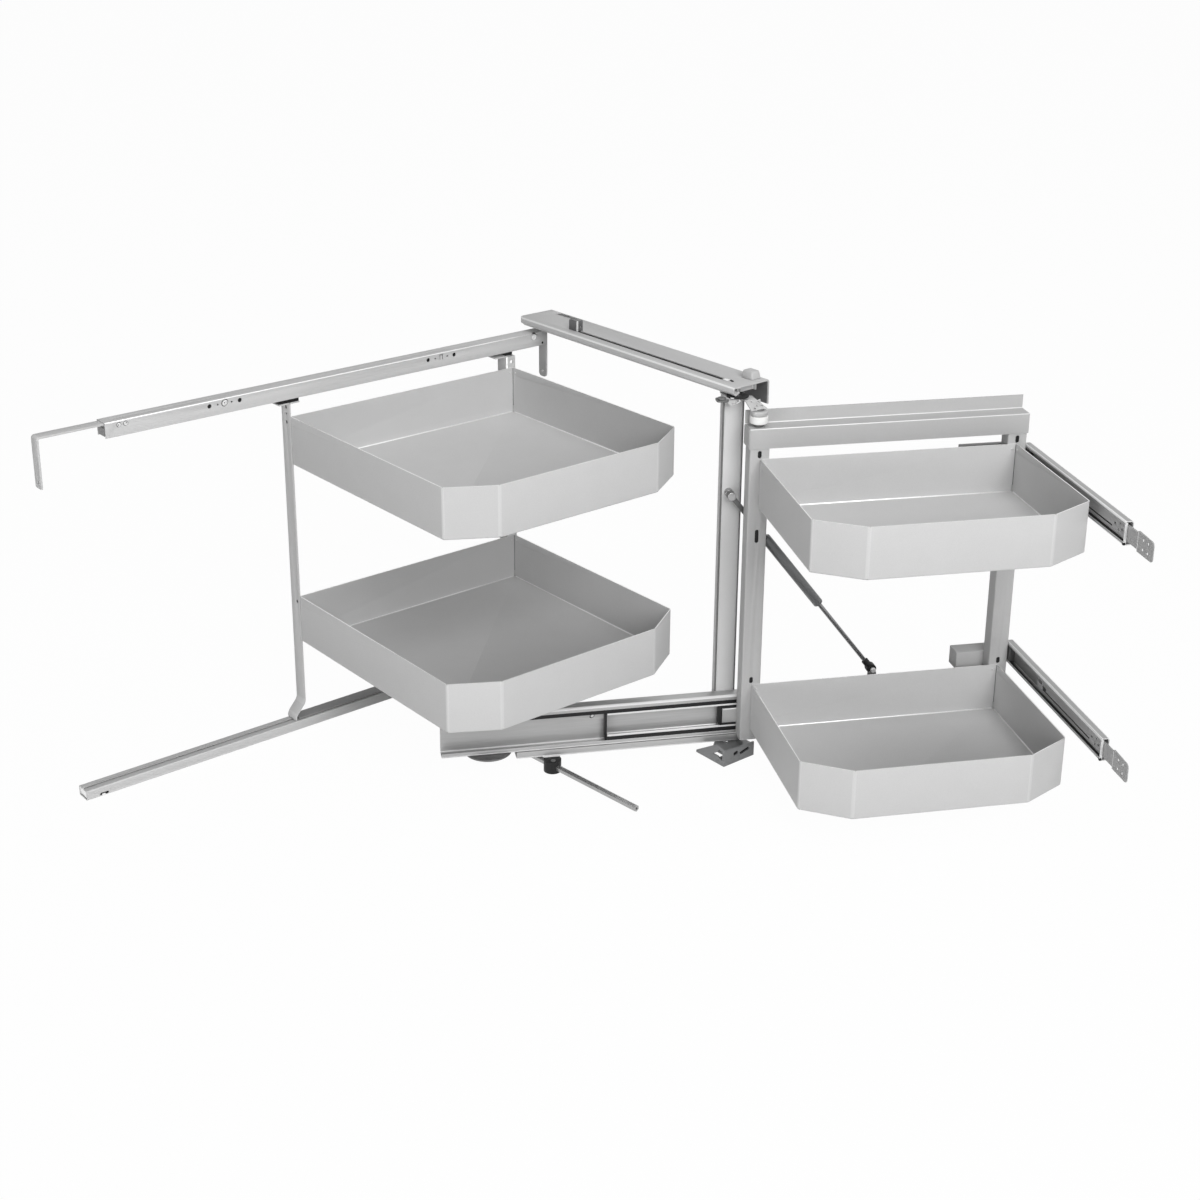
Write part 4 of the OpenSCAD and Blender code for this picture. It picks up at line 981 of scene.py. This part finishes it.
# A boss in the eye in the bright zinc, a painted highlight, and a black block round it, painted shade that
# makes the hole look dark.
fit(punch((eye_x, web_y + 0.6, eye_z), across, 1.9, 1.6, (1.6, 0, 1.2)),
    "swivel", "zinc_plate", zinc_highlight, edge=0.4, name="slide_eye_boss")
bar("slide_eye_shade_fill", eye_x - 6, eye_x + 6, web_y + 0.9, slide_high.y - 0.3, eye_z - 5, eye_z + 5, 0.2,
    "swivel", *nylon)
slide_middle = member("slide_middle", bright_lips)
slide_inner = folded("slide_inner_rolled", "x", inner_low.x, inner_high.x,
                     [(inner_high.y, inner_low.z), (inner_low.y, inner_low.z), (inner_low.y, inner_high.z),
                      (inner_high.y, inner_high.z)],
                     slide_sheet, (inner_high.y, (inner_low.z + inner_high.z) / 2), 2.4,
                     (zinc_along, zinc_plate))
for piece, body, node in ((slide_outer, "swivel", "slide_outer"),
                          (slide_middle, "middle_member", "slide_middle"),
                          (slide_inner, "front_frame", "slide_inner")):
    soften(piece, 0.4, coat=1)
    fit(piece, body, *zinc, node)
dress("ball_strips", "nylon", 0.6, "swivel", *nylon)

# Slide gaps: black strips in the gaps between the members and black blocks and strips at the left ends
# of the middle and of the inner member, painted shade that makes these gaps look dark. Rolled beads
# stiffen the middle member beside them, bright from the zinc's painted highlight.
gap_near = slide_low.y + 0.05
gap_far = middle_low.y - 0.15
gap_shade_tall = 6.6
bead_tall = 3
gap = 0.1
rim = 3.2
lower_lip = slide_low.z + slide_lip
upper_lip = slide_high.z - slide_lip
for name, left, foot in (("lower", middle_low.x - 2, lower_lip - gap),
                         ("upper", middle_low.x - 130, upper_lip + gap - gap_shade_tall)):
    bar(f"slide_{name}_shade_line", left, slide_high.x - 1, gap_near, gap_far, foot, foot + gap_shade_tall, 0.2,
        "swivel", *nylon)
for name, foot in (("lower", lower_lip + gap_shade_tall + gap),
                   ("upper", upper_lip - gap_shade_tall - gap - bead_tall)):
    bar(f"slide_middle_{name}_bead", middle_low.x + 0.5, middle_high.x - 0.5, gap_near, middle_low.y + 0.3,
        foot, foot + bead_tall, 0.35, "middle_member", "zinc_plate", zinc_highlight)
bar("middle_member_end_shade", middle_low.x - 2.4, middle_low.x - 0.2, middle_low.y + 1, middle_high.y - 2,
    middle_low.z + 1, middle_high.z - 1, 0.4, "middle_member", *nylon)
bar("inner_member_end_shade", inner_low.x - 5, inner_low.x - 0.2, inner_low.y + 0.5, inner_high.y - 1,
    inner_low.z - rim, inner_high.z + rim, 0.4, "front_frame", *nylon)
for name, foot, top in (("lower", inner_low.z - rim, inner_low.z - 0.2),
                        ("upper", inner_high.z + 0.2, inner_high.z + rim)):
    bar(f"inner_{name}_shade_line", inner_low.x, inner_low.x + 60, inner_low.y + 0.5, inner_low.y + 4, foot, top,
        0.3, "front_frame", *nylon)

# Slide carrier: the folded channel under the slide that turns on the floor pin, with a welded tab
# for the bush. A dished steel disc sits under its tail.
low, high = extent("slide_carrier")
bush_low, bush_high = extent("rod_bush")
trough = folded("carrier_trough", "x", low.x, high.x,
                [(slide_low.y, high.z), (slide_low.y, low.z), (slide_high.y, low.z), (slide_high.y, high.z)],
                column_sheet, (0, high.z), 3, bright_lips)
soften(trough, 0.4)
tab = stamped("carrier_tab", flat("z", low.z, rectangle(bush_low.x, bush_high.x, low.y, 0)),
              column_sheet, up, 2)
soften(tab, 0.4)
fit(joined("slide_carrier_folded", trough, tab), "swivel", *zinc, "slide_carrier")
dress("tail_disc", "pressed", 0.7, "swivel", "zinc_plate", dark_steel_and_shade)

# Stop rod: a drawn hexagon bar held in a black nylon bush by a set screw. Its edges are chamfered and
# its end is drilled.
dress("rod_bush", "nylon", 1.2, "swivel", *nylon)
dress("bush_screw", "steel", 0.3, "swivel", "bright_steel", dark_steel_and_shade)
low, high = extent("stop_rod")
rod_mid = (low + high) / 2
rod_way = Vector((0.5446, -0.8387, 0))
rod_long = 247
stop_rod = punch(rod_mid, rod_way, 5.4, rod_long, sides=6)
cut(stop_rod, [punch(rod_mid + rod_way * rod_long / 2, rod_way, 2.0, 12)])
soften(stop_rod, 0.8)
# Drawn steel keeps a satin shine from the die.
drawn_steel = finish("drawn_steel", "#b0b0b0", "#a2a2a2", 0.7, 0.8, 0.24, 0.05, 0.05)
fit(stop_rod, "swivel", "bright_steel", drawn_steel, "stop_rod", name="stop_rod_drawn")

# Posts: two folded uprights of the front frame, riveted to the inner slide member. Their slots let
# the trays be hung at other heights; a black plate behind each slot is painted shade that makes it dark.
post_sheet = 1.5
post_bend = 2.0
post_slot = 6.2
slot_up = 7
slot_back_half = 6
slot_back_over = 3
# On the frame the coat is a shade darker than on the trays.
frame_coat = finish("silver_powder_coat_on_frame", "#c3c3c3", "#b9b9b9", 0.9, 0.02, 0.55, 0.06, 0.10,
                    shine=0.15)
upper_rim = extent("front_upper_tray")[1].z
lower_rim = extent("front_lower_tray")[1].z
high_slot = (upper_rim + slot_up, 12)
long_slot = (upper_rim - 126, 22)
low_slot = (lower_rim + slot_up, 11)
for node, slots in (("left_post", (high_slot, long_slot, low_slot)), ("right_post", (high_slot, low_slot))):
    low, high = extent(node)
    middle = (low.x + high.x) / 2
    post = folded(node + "_folded", "z", low.z, high.z,
                  [(low.x, high.y), (low.x, low.y), (high.x, low.y), (high.x, high.y)],
                  post_sheet, (middle, high.y), post_bend)
    cut(post, [punch((middle, low.y, z), across, post_slot / 2, stretch=(0, 0, tall - post_slot))
               for z, tall in slots])
    fit(post, "front_frame", "silver_coat", frame_coat, node, edge=0.6)
    for number, (z, tall) in enumerate(slots):
        slot_back_tall = tall / 2 + slot_back_over
        slot_back_shade = stamped(f"{node}_liner_{number}", flat("y", low.y + 1.7, rectangle(
            middle - slot_back_half, middle + slot_back_half, z - slot_back_tall, z + slot_back_tall)), 1.5, across, 1.0)
        fit(slot_back_shade, "front_frame", *nylon, edge=0.3)

# Crossbar: a Z of folded sheet over both posts, closed at its left by a return. The guide roller runs
# along its upstand.
low, high = extent("crossbar")
ledge_z = low.z + 32
crossbar = folded("crossbar_folded", "x", low.x, high.x,
                  [(low.y, low.z), (low.y, ledge_z), (high.y, ledge_z), (high.y, high.z)],
                  post_sheet, (high.y, low.z), 1.2, (frame_coat, frame_painted_highlight))
soften(crossbar, 0.5, coat=1)
fit(crossbar, "front_frame", "silver_coat", frame_coat, "crossbar")
bar("crossbar_return", low.x - 1.4, low.x - 0.1, low.y + 0.6, high.y, low.z + 1, ledge_z - 1, 0.4,
    "front_frame", "silver_coat", frame_coat)

# Stub tube and tie bar: a square steel tube closed by a pressed cap, with a black block beside it as
# painted shade, and a short dark steel bar, both welded behind the right post.
low, high = extent("stub_tube")
wall = 1.6
dress("stub_tube", "welded", 2.2, "front_frame", "zinc_plate", frame_coat)
bar("stub_tube_cap", low.x + 0.5, low.x + 2.5, low.y + wall, high.y - wall, low.z + wall, high.z - wall, 0.8,
    "front_frame", "zinc_plate", frame_coat)
bar("stub_tube_shade_block", high.x - 5, high.x, low.y - 5, low.y - 0.4, low.z - 1, low.z + 9, 0.8,
    "front_frame", *nylon)
dress("tie_bar", "cut", 0.7, "front_frame", "zinc_plate", dark_steel_and_shade)

# Front trays and their rivets: folded from coated steel sheet as the rear ones are, and riveted to
# the posts.
hang_trays("front", "front_frame")

# Door arms: ball slides of zinc plated steel screwed to the right post. The bar of each one runs
# forward out of its channel and ends in a plate that is screwed to the cabinet door.
arm_lip = 5
arm_roll = 2.6
plate_round = 6
plate_long = 46
plate_thin = 1.2
inset = 1.7
# Where the black strips of painted shade stand above and below the bar, and half their height.
gap_shade_off = 13.2
gap_shade_half = 0.7
# The bars are plated dull: an even mid grey with little shine.
arm_zinc = finish("dull_zinc_bar", "#b2b2b2", "#a9a9a9", 3.0, 0.15, 0.5, 0.04, 0.03)
for level in ("upper_arm", "lower_arm"):
    low, high = extent(level + "_channel")
    middle = (low + high) / 2
    z = middle.z
    channel = folded(level + "_channel_rolled", "y", high.y, low.y,
                     [(low.x, low.z + arm_lip), (low.x, low.z), (high.x, low.z), (high.x, high.z),
                      (low.x, high.z), (low.x, high.z - arm_lip)],
                     post_sheet, (middle.x, z), arm_roll, (zinc_along, zinc_highlight))
    soften(channel, 0.4, coat=1)
    fit(channel, "front_frame", "zinc_plate", zinc_along, level + "_channel")
    bar_low, bar_high = extent(level + "_bar")
    fold_y = bar_low.y + plate_long
    arm_bar = dressed(level + "_bar", "pressed", 0)
    round_edges(arm_bar, along, lambda mid: mid.y < bar_low.y + near_zero, plate_round)
    for vertex in arm_bar.data.vertices:
        if vertex.co.y < fold_y - 2:
            vertex.co.x = min(vertex.co.x, bar_low.x + plate_thin)
    holes = [punch((bar_low.x, low.y + y, z + rise), along, radius, 2 * through, sides=16)
             for y, rise, radius in ((17, -1, 2.2), (28, -5, 2.0), (39, 1, 2.0), (24, 6, 1.5))]
    holes += [punch((bar_low.x, low.y + y, z + rise), along, 2.8, 2 * through, (0, 9, 0))
              for y, rise in ((222, 3), (206, -2))]
    cut(arm_bar, holes)
    fit(arm_bar, level, "zinc_plate", arm_zinc, level + "_bar", edge=0.5)
    bar(level + "_back_stop", low.x + inset, high.x - inset, high.y - 14, high.y - 0.4, low.z + inset,
        high.z - inset, 0.4, "front_frame", "zinc_plate", dark_steel_and_shade)
    # Black strips in the gaps above and below the bar: painted shade.
    for name, gap_shade_z in (("lower", z - gap_shade_off), ("upper", z + gap_shade_off)):
        bar(f"{level}_{name}_shade_line", low.x + 2.2, low.x + 4.2, low.y + 2, high.y - 16, gap_shade_z - gap_shade_half,
            gap_shade_z + gap_shade_half, 0.2, "front_frame", *nylon)
    bar(level + "_end_clip", low.x + 0.3, low.x + 4.4, low.y + 0.1, low.y + 1.9, z - 15.5, z + 15.5, 0.4,
        "front_frame", "zinc_plate", zinc_highlight)
    bar(level + "_bumper", low.x - 0.3, low.x + 3, low.y - 0.8, low.y + 3.4, low.z + 0.4, low.z + 4.2, 0.5,
        "front_frame", *nylon)
    # A thin strip of the bright zinc along the plate's fold: a painted highlight.
    bar(level + "_fold", bar_low.x - 0.25, bar_low.x + 0.4, fold_y - 1.8, fold_y, z - 13.5, z + 13.5, 0.2,
        level, "zinc_plate", zinc_highlight)
    # A thin black strip along the bar's face that stands for the shade in its ball race slot: painted shade.
    bar(level + "_race", bar_low.x - 0.3, bar_low.x + 0.3, low.y + 46, bar_high.y - 20, z - 6.4, z - 4.2,
        0.2, level, *nylon)
    # A thin black plate behind the bar's front holes: painted shade that makes them look dark.
    bar(level + "_hole_shade_fill", bar_high.x + 0.2, bar_high.x + 0.9, low.y + 8, low.y + 48, z - 11, z + 11, 0.2,
        level, *nylon)

# Gas strut: a lacquered steel barrel with a chromed rod, hung on a pin at the column and snapped by
# a nylon clip onto a ball stud on the slide's inner member.
barrel_fatter = 1.0
# Dark lacquer: a smooth slate grey with a satin gloss.
dark_lacquer = finish("dark_lacquer", "#7b7c7d", "#6d6e6f", 1.0, 0.3, 0.36, 0.06, 0.06)
# Chrome gives the rod a dark mirror with one bright line along it.
chrome = finish("ground_chrome", "#8c8c8d", "#828283", 2.0, 0.9, 0.24, 0.03, 0.02)
dress("strut_pin", "made", 0.6, "swivel", "bright_steel", drawn_steel)
dress("strut_eye", "made", 0.7, "strut_tube", "zinc_plate", dark_steel_and_shade)
barrel = dressed("strut_barrel", "made", 1.2)
alone(barrel)
bpy.ops.object.mode_set(mode="EDIT")
bpy.ops.mesh.select_all(action="SELECT")
bpy.ops.transform.shrink_fatten(value=barrel_fatter)
bpy.ops.object.mode_set(mode="OBJECT")
fit(barrel, "strut_tube", "dark_coat", dark_lacquer, "strut_barrel")
dress("strut_rod", "made", 0.5, "strut_piston", "bright_steel", chrome)
dress("strut_clip", "made", 0.8, "strut_piston", *nylon)
dress("strut_stud", "made", 0.8, "strut_piston", "bright_steel", bright_steel)

# Strut bracket: a stamped lug on the inner member that holds the ball stud; the stud's round head
# is turned bright and flat at its front.
low, high = extent("strut_bracket")
stud_low, stud_high = extent("strut_stud")
lug_top = high.z - 11
lug_taper = 4
lug = stamped("strut_bracket_stamped", flat("y", high.y, [
    (low.x, low.z), (high.x, low.z), (high.x - lug_taper, lug_top), (low.x + lug_taper, lug_top)]),
    high.y - low.y, -across, 2)
fit(lug, "front_frame", "zinc_plate", dark_steel_and_shade, "strut_bracket", edge=0.4)
bpy.ops.object.select_all(action="DESELECT")
bpy.ops.mesh.primitive_uv_sphere_add(segments=24, ring_count=16, radius=4.6,
                                     location=((stud_low.x + stud_high.x) / 2 + 2, -11, stud_low.z + 3))
stud_head = bpy.context.active_object
bpy.ops.object.transform_apply()
head_front = -14.0
for vertex in stud_head.data.vertices:
    vertex.co.y = max(vertex.co.y, head_front)
fit(stud_head, "strut_piston", "bright_steel", bright_zinc, name="strut_stud_head")
